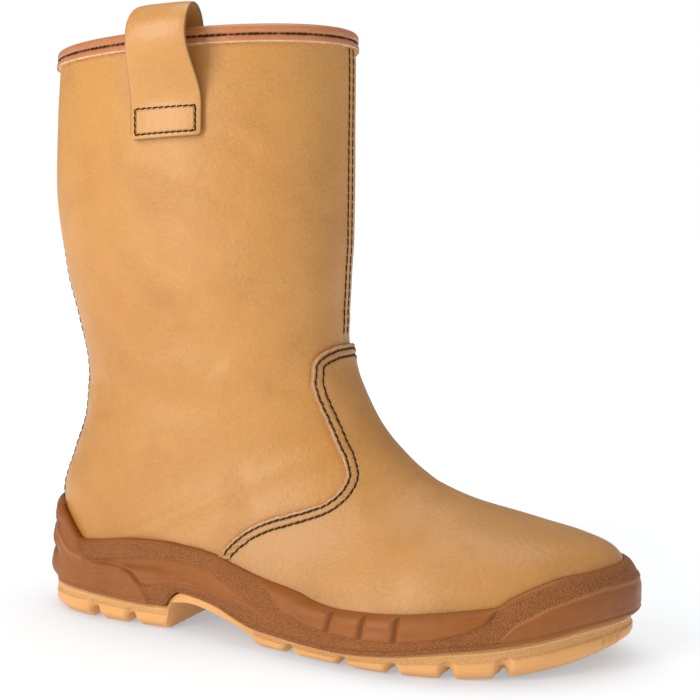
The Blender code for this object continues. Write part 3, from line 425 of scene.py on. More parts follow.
def distance_to(targets: Array, points: Array) -> Array:
    """Distance from each point to the nearest target.

    Args:
        targets: the targets' places.
        points: the points, in a grid of any shape.

    Returns:
        The distances, in the same grid.
    """
    tree = KDTree(len(targets))
    for k, target in enumerate(targets):
        tree.insert(target, k)
    tree.balance()
    return np.array([tree.find(p)[2] for p in points.reshape(-1, 3)]).reshape(points.shape[:-1])


def on_floor(points: Array) -> Array:
    """Lift points that dip under the floor of the boot back onto it."""
    low = floor_height(points[..., 0])
    return np.concatenate([points[..., :2], np.maximum(points[..., 2], low)[..., None]], axis=-1)


def zipper(first: Sequence[int], second: Sequence[int]) -> list[tuple[int, ...]]:
    """Triangles between two lines of point numbers that start and end together.

    Args:
        first: one line.
        second: the other.

    Returns:
        The triangles.
    """
    faces, i, j = [], 0, 0
    a, b = len(first) - 1, len(second) - 1
    while i < a or j < b:
        if j == b or (i < a and (i + 1) / a <= (j + 1) / b):
            faces.append((first[i], first[i + 1], second[j]))
            i += 1
        else:
            faces.append((first[i], second[j + 1], second[j]))
            j += 1
    return [f for f in faces if len(set(f)) == 3]


def quads(index: Array) -> list[tuple[int, ...]]:
    """Faces of a grid of point numbers, leaving out corners that fall together.

    Args:
        index: the grid.

    Returns:
        The faces.
    """
    faces = np.stack([index[:-1, :-1], index[1:, :-1], index[1:, 1:], index[:-1, 1:]], axis=-1)
    made = []
    for face in faces.reshape(-1, 4).tolist():
        ring = [n for k, n in enumerate(face) if n not in face[:k]]
        if len(ring) > 2:
            made.append(tuple(ring))
    return made


# Shading

class Shade:
    """One socket of a node tree that can be used in plain arithmetic."""

    def __init__(self, tree: "Tree", socket: Any) -> None:
        """Wrap a socket of the given tree."""
        self.tree, self.socket = tree, socket

    def math(self, operation: str, *others: Any, first: Optional[Any] = None) -> "Shade":
        """Add a Math node on this value and others, or on one value that comes first and this one."""
        values = [self, *others] if first is None else [first, self]
        return self.tree.add("ShaderNodeMath", {"operation": operation}, dict(enumerate(values)))

    def __add__(self, other: Any) -> "Shade":
        """This value plus another."""
        return self.math("ADD", other)

    def __sub__(self, other: Any) -> "Shade":
        """This value minus another."""
        return self.math("SUBTRACT", other)

    def __mul__(self, other: Any) -> "Shade":
        """This value times another."""
        return self.math("MULTIPLY", other)

    def __rsub__(self, other: Any) -> "Shade":
        """Another value minus this one."""
        return self.math("SUBTRACT", first=other)

    def __neg__(self) -> "Shade":
        """This value with its sign turned."""
        return self.math("MULTIPLY", -1.0)

    __radd__, __rmul__ = __add__, __mul__

    def step(self, low: float, high: float) -> "Shade":
        """A soft step from 0 at low to 1 at high."""
        return self.tree.add("ShaderNodeMapRange", {"interpolation_type": "SMOOTHSTEP", "clamp": True},
                             {0: self, 1: low, 2: high, 3: 0.0, 4: 1.0})


class Tree:
    """The node tree of a finish or of the sky."""

    def __init__(self, owner: Any) -> None:
        """Take over the nodes of a material or a world.

        Args:
            owner: the material or world.
        """
        owner.use_nodes = True
        self.owner = owner
        self.nodes, self.links = owner.node_tree.nodes, owner.node_tree.links

    @classmethod
    def named(cls, name: str) -> "Tree":
        """Start a new material, which comes with a Principled shader."""
        return cls(bpy.data.materials.new(name + LOOK))

    def feed(self, socket: Any, value: Any) -> None:
        """Set a socket to a number or colour, or link it.

        Args:
            socket: the socket.
            value: the number, the colour or what to link.
        """
        if isinstance(value, Shade):
            self.links.new(value.socket, socket)
        elif isinstance(value, tuple) and socket.type == "RGBA" and len(value) == 3:
            socket.default_value = (*value, 1.0)
        else:
            socket.default_value = value

    def add(self, kind: str, settings: dict, inputs: dict, out: Any = 0) -> Shade:
        """Add one node.

        Args:
            kind: the node's type.
            settings: its own settings, set first.
            inputs: values or links by socket name or number.
            out: the output to return.

        Returns:
            That output.
        """
        node = self.nodes.new(kind)
        for name, value in settings.items():
            setattr(node, name, value)
        for name, value in inputs.items():
            self.feed(node.inputs[name], value)
        return Shade(self, node.outputs[out])

    def given(self, node: str) -> Shade:
        """The first output of a node that the tree comes with."""
        return Shade(self, self.nodes[node].outputs[0])

    def place(self) -> Shade:
        """Where a point lies on the object, in metres."""
        return self.add("ShaderNodeTexCoord", {}, {}, "Object")

    def attribute(self, name: str) -> Shade:
        """A value stored at the points of the mesh."""
        return self.add("ShaderNodeAttribute", {"attribute_name": name}, {}, "Fac")

    def noise(self, scale: float, detail: float = 3.0, rough: float = 0.5, twist: float = 0.0,
              at: Optional[Shade] = None) -> Shade:
        """A cloud pattern at so many cycles a metre."""
        return self.add("ShaderNodeTexNoise", {}, {"Vector": at or self.place(), "Scale": scale,
                        "Detail": detail, "Roughness": rough, "Distortion": twist})

    def cells(self, scale: float, feature: str = "F1", rough: float = 1.0) -> Shade:
        """A pattern of cells at so many a metre."""
        return self.add("ShaderNodeTexVoronoi", {"feature": feature},
                        {"Vector": self.place(), "Scale": scale, "Randomness": rough}, "Distance")

    def stretch(self, along: Triple, turn: Triple = (0, 0, 0)) -> Shade:
        """The place on the object, stretched and turned."""
        return self.add("ShaderNodeMapping", {}, {"Vector": self.place(), "Rotation": turn, "Scale": along})

    def mix(self, first: Any, second: Any, factor: Any) -> Shade:
        """Mix two colours."""
        return self.add("ShaderNodeMix", {"data_type": "RGBA", "clamp_factor": True},
                        {0: factor, 6: first, 7: second}, 2)

    def bump(self, *layers: tuple[Any, float]) -> Shade:
        """Stack bump layers.

        Args:
            layers: pairs of a height between 0 and 1 and its depth in metres.

        Returns:
            The normal.
        """
        normal = None
        for value, depth in layers:
            inputs = {"Height": value, "Distance": depth, "Strength": 1.0}
            if normal is not None:
                inputs["Normal"] = normal
            normal = self.add("ShaderNodeBump", {}, inputs)
        return normal

    def finish(self, **values: Any) -> Any:
        """Feed the Principled shader and return the material.

        Args:
            values: what feeds its sockets, named with underscores for spaces.

        Returns:
            The material.
        """
        for name, value in values.items():
            socket = name.replace("_", " ").title().replace("Ior", "IOR")
            self.feed(self.nodes["Principled BSDF"].inputs[socket], value)
        return self.owner


def tint(colour: Triple, share: float, lift: float = 0.0) -> Triple:
    """A colour made darker or lighter by a share, at most white."""
    return tuple(min(share * c + lift, 1.0) for c in colour)


@dataclass(frozen=True)
class LeatherFinish:
    """Smooth waxed leather: its two tones, its grain, its seams and its cut edge, with painted shade in the
    troughs of its wrinkles and in its seam grooves.

    Patterns are given in cycles a metre, and depths and widths in metres.
    """

    name: str
    pale: Triple
    deep: Triple
    rough: float = 0.5
    grain: float = 1.0
    cut: Triple = (0.80, 0.52, 0.27)
    cut_width: float = 0.0008
    cut_share: float = 0.5
    cloud: float = 9.0
    blotch: float = 48.0
    fibre: float = 700.0
    pores: float = 1300.0
    scuffs: float = 150.0
    pebbles: float = 560.0
    patches: float = 26.0
    swells: float = 30.0
    fold_run: Triple = (150.0, 150.0, 380.0)
    wrinkle_run: Triple = (210.0, 210.0, 520.0)
    swell_depth: float = 0.00004
    fold_depth: float = 0.00005
    crease_depth: float = 0.00030
    pebble_depth: float = 0.00017
    fibre_depth: float = 0.00005
    seam_depth: float = 0.00035
    seam_width: float = 0.0012
    shine: float = 0.65

    def build(self) -> Any:
        """Make the material.

        Returns:
            The material.
        """
        t = Tree.named(self.name)
        cloud = t.noise(self.cloud, 4.0, 0.55, 0.4)
        fine = t.noise(self.fibre, 4.0, 0.65)
        tone = (cloud * 0.46 + t.noise(self.blotch, 5.0, 0.62, 0.5) * 0.28 + fine * 0.26).step(0.30, 0.66)
        colour = t.mix(self.deep, self.pale, tone)
        colour = t.mix(colour, tint(self.deep, 0.5), (1.0 - t.cells(self.pores).step(0.05, 0.35)) * 0.22)
        scuff = t.noise(self.scuffs, 4.0, 0.75, 1.4).step(0.60, 0.74)
        colour = t.mix(colour, tint(self.pale, 1.18, 0.03), scuff * 0.22)
        pebble = t.cells(self.pebbles, "SMOOTH_F1")
        folds = t.noise(1.0, 4.0, 0.62, 1.2, t.stretch(self.fold_run, (0.3, 0.2, 0.0)))
        patch = t.noise(self.patches, 2.0, 0.5).step(0.50, 0.62)
        wrinkle = t.noise(1.0, 5.0, 0.65, 2.2, t.stretch(self.wrinkle_run, (0.25, 0.15, 0.1)))
        # Patches and the worn zone at the ankle: deeper wrinkles there, and painted shade in their troughs
        patch = t.attribute("worn").math("MAXIMUM", patch)
        creased = patch * (wrinkle - 0.5) + 0.5
        seam = t.attribute("seam")
        layers = [(t.noise(self.swells, 2.0, 0.5), self.swell_depth), (folds, self.fold_depth * self.grain),
                  (creased, self.crease_depth * self.grain), (pebble, self.pebble_depth * self.grain),
                  (fine, self.fibre_depth * self.grain), (seam.step(0.0, self.seam_width), self.seam_depth)]
        # Painted shade: darker in the troughs of the wrinkles
        colour = t.mix(colour, tint(self.deep, 0.62), patch * (0.5 - wrinkle).step(0.0, 0.14) * 0.16)
        # Painted shade: darker along the stitched seam grooves
        seam_groove_shade = 1.0 - seam.step(0.0002, self.seam_width)
        colour = t.mix(colour, tint(self.deep, 0.36), seam_groove_shade * 0.55)
        edge = 1.0 - t.attribute("edge").step(0.3 * self.cut_width, self.cut_width)
        colour = t.mix(colour, self.cut, edge * self.cut_share)
        rough = self.rough + (fine - 0.5) * 0.22 + (cloud - 0.5) * 0.12
        return t.finish(base_color=colour, roughness=rough, normal=t.bump(*layers),
                        specular_ior_level=self.shine)


@dataclass(frozen=True)
class EdgeFinish:
    """The cut edge of leather, rough and fibrous."""

    name: str
    pale: Triple
    deep: Triple
    speck: Triple = (0.36, 0.19, 0.09)
    fibre_run: Triple = (900.0, 900.0, 2600.0)
    specks: float = 420.0
    depth: float = 0.0003
    rough: float = 0.9

    def build(self) -> Any:
        """Make the material.

        Returns:
            The material.
        """
        t = Tree.named(self.name)
        fibre = t.noise(1.0, 5.0, 0.7, 1.0, t.stretch(self.fibre_run))
        spots = t.noise(self.specks, 4.0, 0.6).step(0.55, 0.72)
        # Painted shade: darker where the fibres are low; the specks are the edge's own
        colour = t.mix(t.mix(self.deep, self.pale, fibre.step(0.3, 0.65)), self.speck, spots * 0.2)
        return t.finish(base_color=colour, roughness=self.rough, normal=t.bump((fibre, self.depth)))


@dataclass(frozen=True)
class RubberFinish:
    """Moulded polyurethane: smooth and pebbled fields, with painted highlights on ridges and pebble tops and
    painted shade in creases and between pebbles.
    """

    name: str
    body: Triple
    shade: Triple
    # Colour of the painted highlights on ridges and pebble tops
    ridge: Triple
    rough: float
    pebble_size: float
    pebble_depth: float
    cloud: float = 16.0
    flow_run: Triple = (40.0, 40.0, 160.0)
    specks: float = 1300.0
    speck_depth: float = 0.00003
    swells: float = 70.0
    swell_depth: float = 0.00015
    scatter: float = 0.9
    shine: float = 0.3

    def build(self) -> Any:
        """Make the material.

        Returns:
            The material.
        """
        t = Tree.named(self.name)
        cloud = t.noise(self.cloud, 4.0, 0.6, 0.5)
        flow = t.noise(1.0, 5.0, 0.65, 1.5, t.stretch(self.flow_run, (0.0, 0.25, 0.0)))
        fine = t.noise(self.specks, 3.0, 0.6)
        colour = t.mix(self.shade, self.body, (cloud * 0.6 + flow * 0.3 + fine * 0.12).step(0.30, 0.62))
        grain = t.attribute("pebble")
        cells = t.cells(1.0 / self.pebble_size, "SMOOTH_F1", self.scatter)
        walls = t.cells(1.0 / self.pebble_size, "DISTANCE_TO_EDGE", self.scatter)
        # Painted highlight on the pebbles' tops
        colour = t.mix(colour, self.ridge, (1.0 - cells.step(0.1, 0.75)) * grain * 0.42)
        # Painted shade in the pits between the pebbles
        colour = t.mix(colour, tint(self.shade, 0.60), (1.0 - walls.step(0.02, 0.22)) * grain * 0.22)
        relief = t.attribute("relief")
        # Painted highlight on the raised lines and ridges
        colour = t.mix(colour, self.ridge, relief.step(0.15, 0.9) * 0.55)
        # Painted shade in the cuts, troughs and along the fields' borders
        colour = t.mix(colour, tint(self.shade, 0.38), (-relief).step(0.15, 0.9) * 0.60)
        bumps = t.bump((t.noise(self.swells, 3.0, 0.5), self.swell_depth),
                       (walls.step(0.0, 0.3) * grain, self.pebble_depth), (fine, self.speck_depth))
        rough = self.rough + grain * 0.12 + (cloud - 0.5) * 0.12
        return t.finish(base_color=colour, roughness=rough, normal=bumps, specular_ior_level=self.shine)


@dataclass(frozen=True)
class ThreadFinish:
    """Twisted sewing thread."""

    name: str
    colour: Triple
    twist_run: Triple = (3000.0, 3000.0, 5000.0)
    depth: float = 0.0001
    rough: float = 0.7
    shine: float = 0.2

    def build(self) -> Any:
        """Make the material.

        Returns:
            The material.
        """
        t = Tree.named(self.name)
        twist = t.noise(1.0, 3.0, 0.6, 0.0, t.stretch(self.twist_run, (0.6, 0.4, 0.0)))
        # Painted shade: darker in the grooves of the twist
        colour = t.mix(tint(self.colour, 0.45), self.colour, twist.step(0.35, 0.65))
        return t.finish(base_color=colour, roughness=self.rough, normal=t.bump((twist, self.depth)),
                        specular_ior_level=self.shine)


@dataclass(frozen=True)
class FleeceFinish:
    """White pile lining, or the felted board under it."""

    name: str
    pale: Triple
    deep: Triple
    clumps: float = 170.0
    fibres: float = 1400.0
    clump_depth: float = 0.0012
    fibre_depth: float = 0.0003
    rough: float = 0.95
    sheen: float = 0.4
    shine: float = 0.2

    def build(self) -> Any:
        """Make the material.

        Returns:
            The material.
        """
        t = Tree.named(self.name)
        clump = t.noise(self.clumps, 5.0, 0.65, 0.6)
        fibre = t.noise(self.fibres, 4.0, 0.7, 1.0)
        # Painted shade: greyer where the clumps and fibres are low
        colour = t.mix(self.deep, self.pale, (clump * 0.7 + fibre * 0.35).step(0.35, 0.62))
        bumps = t.bump((clump, self.clump_depth), (fibre, self.fibre_depth))
        return t.finish(base_color=colour, roughness=self.rough, normal=bumps, sheen_weight=self.sheen,
                        sheen_roughness=0.6, specular_ior_level=self.shine)


class Finish(Enum):
    """The boot's finishes."""

    UPPER = LeatherFinish("upper_leather", (0.640, 0.298, 0.068), (0.520, 0.214, 0.036), 0.46)
    VAMP = LeatherFinish("vamp_leather", (0.610, 0.287, 0.076), (0.490, 0.206, 0.040), 0.45, 1.0,
                         (0.88, 0.55, 0.28), 0.0009, 0.8)
    LOOP = LeatherFinish("loop_leather", (0.650, 0.308, 0.076), (0.565, 0.245, 0.050), 0.40, 0.8,
                         (0.115, 0.070, 0.025), 0.0008, 0.7)
    BINDING = LeatherFinish("binding_leather", (0.580, 0.215, 0.076), (0.470, 0.155, 0.046), 0.34, 0.6,
                            (0.95, 0.74, 0.44), 0.0011, 0.85)
    CUT = EdgeFinish("cut_leather", (0.95, 0.62, 0.33), (0.74, 0.42, 0.18))
    MIDSOLE = RubberFinish("midsole_rubber", (0.350, 0.110, 0.020), (0.250, 0.073, 0.012),
                           (0.560, 0.230, 0.085), 0.42, 0.00105, 0.00032)
    OUTSOLE = RubberFinish("outsole_rubber", (0.870, 0.440, 0.150), (0.760, 0.345, 0.100),
                           (0.960, 0.620, 0.310), 0.40, 0.00090, 0.00022)
    THREAD = ThreadFinish("dark_thread", (0.030, 0.014, 0.009))
    FLEECE = FleeceFinish("fleece", (0.96, 0.955, 0.94), (0.86, 0.85, 0.83))
    BOARD = FleeceFinish("insole_board", (0.62, 0.58, 0.52), (0.45, 0.42, 0.37))

    def material(self) -> Any:
        """The finish's material, made on its first use."""
        return bpy.data.materials.get(self.value.name + LOOK) or self.value.build()


def add_piece(name: str, points: Array, faces: Sequence, finishes: Sequence[Finish],
              replaces: Sequence[str] = (), values: Optional[dict[str, Array]] = None,
              face_finish: Optional[Sequence[int]] = None, closed: bool = True) -> Any:
    """Make one named piece and let it ride on the boot.

    Args:
        name: the piece's name.
        points: its points, counted from the back of the heel.
        faces: point numbers of its faces.
        finishes: its finishes.
        replaces: the solids it stands for.
        values: numbers stored at its points, by name.
        face_finish: which finish each face has.
        closed: whether its faces are turned outwards.

    Returns:
        The new object.
    """
    mesh = bpy.data.meshes.new(name)
    moved = np.asarray(points, float) - np.array([HEEL_REST, 0, 0])
    mesh.from_pydata(moved.tolist(), [], list(faces))
    for key, array in (values or {}).items():
        stored = mesh.attributes.new(key, "FLOAT", "POINT")
        stored.data.foreach_set("value", np.asarray(array, np.float32).ravel())
    for finish in finishes:
        mesh.materials.append(finish.material())
    if face_finish is not None:
        mesh.polygons.foreach_set("material_index", np.asarray(face_finish, np.int32))
    mesh.update()
    if closed:
        shape = bmesh.new()
        shape.from_mesh(mesh)
        bmesh.ops.recalc_face_normals(shape, faces=shape.faces)
        shape.to_mesh(mesh)
        shape.free()
    mesh.shade_smooth()
    piece = bpy.data.objects.new(name, mesh)
    bpy.context.scene.collection.objects.link(piece)
    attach(piece, "root")
    if replaces:
        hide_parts(*replaces)
    LOG.info("%s: %d points, %d faces", name, len(moved), len(mesh.polygons))
    return piece


# The upper's skin

@dataclass(eq=False)
class Skin:
    """The last's surface on its own fine grid, with outward directions and seam lines."""

    last: Last
    fold_reach: int = 18
    fold_edge: int = 16
    fold_passes: int = 160
    fold_rate: float = 0.7
    shaft_row: int = 60

    def __post_init__(self) -> None:
        """Read the grid of the last."""
        self.points = self.last.grid.copy()
        self.rows, self.rounds = self.points.shape[:2]
        self.heel_row = int(np.argmin(np.abs(self.last.places - 1)))
        self._soften()
        self.normals = self._normals(self.points)
        self.from_back = self._arc(0)
        self.from_front = self._arc(self.rounds // 2)

    def _soften(self) -> None:
        """Ease the fold where the shaft's rings turn into the foot's arches."""
        reach, cols = self.fold_reach, np.arange(self.rounds)
        inner = ease((np.minimum(cols, self.rounds - 1 - cols) - 2) / self.fold_edge)[None, :, None]
        rows = np.arange(self.heel_row - reach, self.heel_row + reach + 1)
        fade = ease((reach - np.abs(rows - self.heel_row)) / reach)[:, None, None]
        for _ in range(self.fold_passes):
            mean = (self.points[rows - 1] + self.points[rows + 1]) / 2
            self.points[rows] += self.fold_rate * inner * fade * (mean - self.points[rows])

    def _normals(self, points: Array) -> Array:
        """Outward directions of a grid like the skin's.

        Args:
            points: the grid.

        Returns:
            The directions.
        """
        across = np.cross(points[1:, 1:] - points[:-1, :-1], points[:-1, 1:] - points[1:, :-1])
        total = np.zeros_like(points)
        for r in (slice(None, -1), slice(1, None)):
            for c in (slice(None, -1), slice(1, None)):
                total[r, c] += across
        leg = slice(0, self.heel_row)
        total[leg, 0] += total[leg, -1]
        total[leg, -1] = total[leg, 0]
        total[-1] = total[-1].sum(axis=0)
        total = unit(total)
        ring = points[self.shaft_row]
        outward = np.einsum("ij,ij->i", total[self.shaft_row], ring - ring.mean(axis=0)).sum()
        return total * np.sign(outward)

    def _arc(self, column: int) -> Array:
        """Distance along each row from a column, negative on the lateral side.

        Args:
            column: the first column or the middle one.

        Returns:
            The distances.
        """
        gaps = np.linalg.norm(np.diff(self.points, axis=1), axis=2)
        run = np.concatenate([np.zeros((self.rows, 1)), np.cumsum(gaps, axis=1)], axis=1)
        if column == 0:
            return np.where(run > run[:, -1:] / 2, run[:, -1:] - run, -run)
        return run - run[:, column:column + 1]

    def row_line(self, distance: Array, offset: float, rows: Iterable[int]) -> tuple[Array, Array]:
        """A line over the given rows, at a distance to one side of a column.

        Args:
            distance: the skin's distance field from that column.
            offset: how far to the side, negative on the lateral side.
            rows: the rows that the line crosses.

        Returns:
            Points and outward directions.
        """
        points, normals = [], []
        half = self.rounds // 2 + 1
        side = slice(0, half) if offset < 0 else slice(half - 1, None)
        for r in rows:
            d = distance[r, side]
            order = np.argsort(d)
            c = np.interp(offset, d[order], np.arange(self.rounds)[side][order])
            c0 = min(int(c), self.rounds - 2)
            t = c - c0
            points.append((1 - t) * self.points[r, c0] + t * self.points[r, c0 + 1])
            normals.append((1 - t) * self.normals[r, c0] + t * self.normals[r, c0 + 1])
        return np.array(points), unit(np.array(normals))

    def index(self, rows: Array, start: int) -> Array:
        """Point numbers for a grid of the given rows, closed where the skin is closed.

        Args:
            rows: the rows.
            start: the first number.

        Returns:
            The numbers.
        """
        index = start + np.arange(len(rows) * self.rounds).reshape(len(rows), self.rounds)
        leg = rows <= self.heel_row
        index[leg, -1] = index[leg, 0]
        index[rows == self.rows - 1] = index[-1, 0]
        return index


@dataclass(frozen=True)
class Crease:
    """One soft trough or ridge, drawn in side view on one side of the boot."""

    side: int
    line: tuple[tuple[float, float], ...]
    width: float
    depth: float
    step: float = 0.001
    run_out: float = 4.0
    at_end: float = 0.15

    def lift(self, skin: Skin) -> Array:
        """How far it lifts the skin, outwards where depth is positive.

        Args:
            skin: the upper's skin.

        Returns:
            The lift at each of its points.
        """
        half = skin.rounds // 2
        cols = slice(0, half + 1) if self.side < 0 else slice(half, None)
        spots = skin.points[:, cols]
        path = resample(np.array(self.line) * MILLIMETRE, self.step)
        flat = spots[..., (0, 2)].reshape(-1, 2)
        gap = np.full(len(flat), np.inf)
        share = np.zeros(len(flat))
        for k, p in enumerate(path):
            d = np.hypot(flat[:, 0] - p[0], flat[:, 1] - p[1])
            near = d < gap
            gap[near], share[near] = d[near], k / (len(path) - 1)
        fade = ease(share * self.run_out + self.at_end) * ease((1 - share) * self.run_out + self.at_end)
        lift = np.zeros(skin.points.shape[:2])
        lift[:, cols] = (self.depth * fade * np.exp(-(gap / self.width) ** 2)).reshape(spots.shape[:2])
        return lift


class Cut:
    """A part of the skin's grid, cut along the zero line of a field."""

    SHORTEST = 8

    def __init__(self, skin: Skin, field: Array, rows: range) -> None:
        """Keep the side of the field that is above zero, on the given rows.

        Args:
            skin: the upper's skin.
            field: a value at each of its points.
            rows: the rows to keep.
        """
        self.skin = skin
        self.value = field.ravel()
        self.number: dict[tuple[int, int], int] = {}
        self.ends: list[tuple[int, int]] = []
        self.faces: list[tuple[int, ...]] = []
        self.segments: list[tuple[int, int]] = []
        index = np.arange(field.size).reshape(field.shape)
        index[-1] = index[-1, 0]
        for r in rows[:-1]:
            ring = np.stack([index[r, :-1], index[r + 1, :-1], index[r + 1, 1:], index[r, 1:]], axis=1)
            inside = (self.value[ring] > 0)
            for corners, flags in zip(ring.tolist(), inside.tolist()):
                if any(flags):
                    self._clip(corners, flags)

    def _vertex(self, a: int, b: int) -> int:
        """The number of the point where a grid edge meets the line, or of a grid point.

        Args:
            a: one end of the edge.
            b: the other end, or the same point.

        Returns:
            The cut's own number for it.
        """
        key = (min(a, b), max(a, b))
        if key not in self.number:
            self.number[key] = len(self.ends)
            self.ends.append(key)
        return self.number[key]

    def _clip(self, corners: list[int], flags: list[bool]) -> None:
        """Cut one cell of the grid.

        Args:
            corners: the cell's corners.
            flags: which of them are kept.
        """
        ring, crossed = [], []
        for k in range(4):
            a, b = corners[k], corners[(k + 1) % 4]
            if flags[k]:
                ring.append(self._vertex(a, a))
            if a != b and flags[k] != flags[(k + 1) % 4]:
                crossed.append(self._vertex(a, b))
                ring.append(crossed[-1])
        ring = [n for k, n in enumerate(ring) if n not in ring[:k]]
        if len(ring) > 2:
            self.faces.append(tuple(ring))
            if len(crossed) == 2:
                self.segments.append((crossed[0], crossed[1]))

    def read(self, field: Array) -> Array:
        """A field's values at the cut's points.

        Args:
            field: its values at the skin's points.

        Returns:
            The values.
        """
        flat = field.reshape(self.skin.rows * self.skin.rounds, -1)
        ends = np.array(self.ends)
        a, b = self.value[ends[:, 0]], self.value[ends[:, 1]]
        t = np.where(ends[:, 0] == ends[:, 1], 0.0, a / np.where(a == b, 1.0, a - b))[:, None]
        return (1 - t) * flat[ends[:, 0]] + t * flat[ends[:, 1]]

    def lines(self) -> list[Array]:
        """The cut's own edge, as lines of point numbers.

        Returns:
            The lines.
        """
        mates: dict[int, list[int]] = {}
        for a, b in self.segments:
            mates.setdefault(a, []).append(b)
            mates.setdefault(b, []).append(a)
        lines, seen = [], set()
        starts = [n for n in mates if len(mates[n]) == 1] + list(mates)
        for start in starts:
            if start in seen:
                continue
            line = [start]
            seen.add(start)
            while True:
                ahead = [n for n in mates[line[-1]] if n not in seen]
                if not ahead:
                    break
                line.append(ahead[0])
                seen.add(ahead[0])
            if len(line) > self.SHORTEST:
                lines.append(np.array(line))
        return lines

    def solid(self, near: Array, far: Array) -> tuple[Array, list, int]:
        """A closed solid between two sets of places for the cut's points.

        Args:
            near: the places on its inner side.
            far: the places on its outer side.

        Returns:
            Points, faces, and the number of faces before the edge faces start.
        """
        count = len(near)
        faces = list(self.faces) + [tuple(count + n for n in reversed(f)) for f in self.faces]
        main = len(faces)
        edges = {(f[k], f[(k + 1) % len(f)]) for f in self.faces for k in range(len(f))}
        faces += [(b, a, count + a, count + b) for a, b in sorted(edges) if (b, a) not in edges]
        return np.concatenate([far, near]), faces, main


# Stitching

@dataclass(frozen=True)
class Stitching:
    """A row of stitches: thread size, pitch, and how it lies."""

    pitch: float = 0.0031
    length: float = 0.0026
    radius: float = 0.00042
    lift: float = 0.00016
    lean: float = 0.00018
    sides: int = 6
    flat: float = 0.85
    sink: float = 1.3
    stations: tuple[float, ...] = (-1.0, -0.86, -0.5, 0.0, 0.5, 0.86, 1.0)
    swell: tuple[float, ...] = (0.45, 0.85, 1.0, 1.04, 1.0, 0.85, 0.45)

    def rows(self, lines: Sequence[tuple[Array, Array]]) -> tuple[Array, list]:
        """Meshes of all the stitches along lines of points and outward directions.

        Args:
            lines: the lines.

        Returns:
            Points and faces.
        """
        share = np.array(self.stations)
        turn = np.linspace(0, 2 * math.pi, self.sides, endpoint=False)
        thick = self.radius * np.array(self.swell)
        rise = self.lift - (self.lift + self.radius * self.sink) * np.abs(share) ** 5
        count = len(share) * len(turn)
        index = np.arange(count).reshape(len(share), len(turn))
        ring = quads(np.concatenate([index, index[:, :1]], axis=1))
        ring += [tuple(index[0]), tuple(index[-1][::-1])]
        points, faces = [], []
        for line, normals in lines:
            length = run_length(line)
            number = max(int(length[-1] / self.pitch), 1)
            for k in range(number):
                at = (k + 0.5) * length[-1] / number
                spots = [np.array([np.interp(at + s * self.length / 2, length, line[:, i])
                                   for i in range(3)]) for s in share]
                out = unit(np.array([np.interp(at, length, normals[:, i]) for i in range(3)]))
                ahead = unit(spots[-1] - spots[0])
                side = np.cross(out, ahead)
                start = len(points) * count
                made = [spot + out * (h + r * self.flat * np.sin(turn)[:, None])
                        + side * (self.lean * s + r * np.cos(turn)[:, None])
                        for spot, s, h, r in zip(spots, share, rise, thick)]
                points.append(np.concatenate(made))
                faces += [tuple(start + n for n in f) for f in ring]
        return np.concatenate(points), faces


def chance(random: np.random.Generator, shape: Sequence[int], most: float = 1.5) -> Array:
    """Normal chance values, none further from 0 than the most."""
    return np.clip(random.normal(size=shape), -most, most)


def strands(roots: Array, ways: Array, length: Array, width: float, curl: float,
            random: np.random.Generator) -> tuple[Array, list]:
    """Short bent fibres, each a tapered three-sided spike.

    Args:
        roots: where each fibre starts.
        ways: the direction in which it leaves.
        length: how long each one is.
        width: how thick it is at the root.
        curl: how far its tip bends aside, as a share of its length.
        random: the seeded source of chance.

    Returns:
        Points and faces.
    """
    count, sides = len(roots), 3
    aside = unit(np.cross(ways, random.normal(size=(count, 3))))
    other = np.cross(ways, aside)
    lean = curl * chance(random, (2, count, 1))
    bend = aside * lean[0] + other * lean[1]
    rings = []
    for share, thick in ((0.0, 1.0), (0.55, 0.7)):
        spot = roots + (ways * share + bend * share ** 2) * length[:, None]
        for k in range(sides):
            angle = 2 * math.pi * k / sides
            rings.append(spot + (aside * math.cos(angle) + other * math.sin(angle)) * width * thick)
    tip = roots + (ways * 0.92 + bend * 1.3) * length[:, None]
    points = np.stack(rings + [tip], axis=1).reshape(-1, 3)
    base = np.array([(0, 1, 4, 3), (1, 2, 5, 4), (2, 0, 3, 5)])
    ends = np.array([(3, 4, 6), (4, 5, 6), (5, 3, 6), (2, 1, 0)])
    start = np.arange(count)[:, None] * (2 * sides + 1)
    faces = [tuple(f) for block in (base, ends) for f in
             (start[:, None] + block[None]).reshape(-1, block.shape[1]).tolist()]
    return points, faces


# The pieces

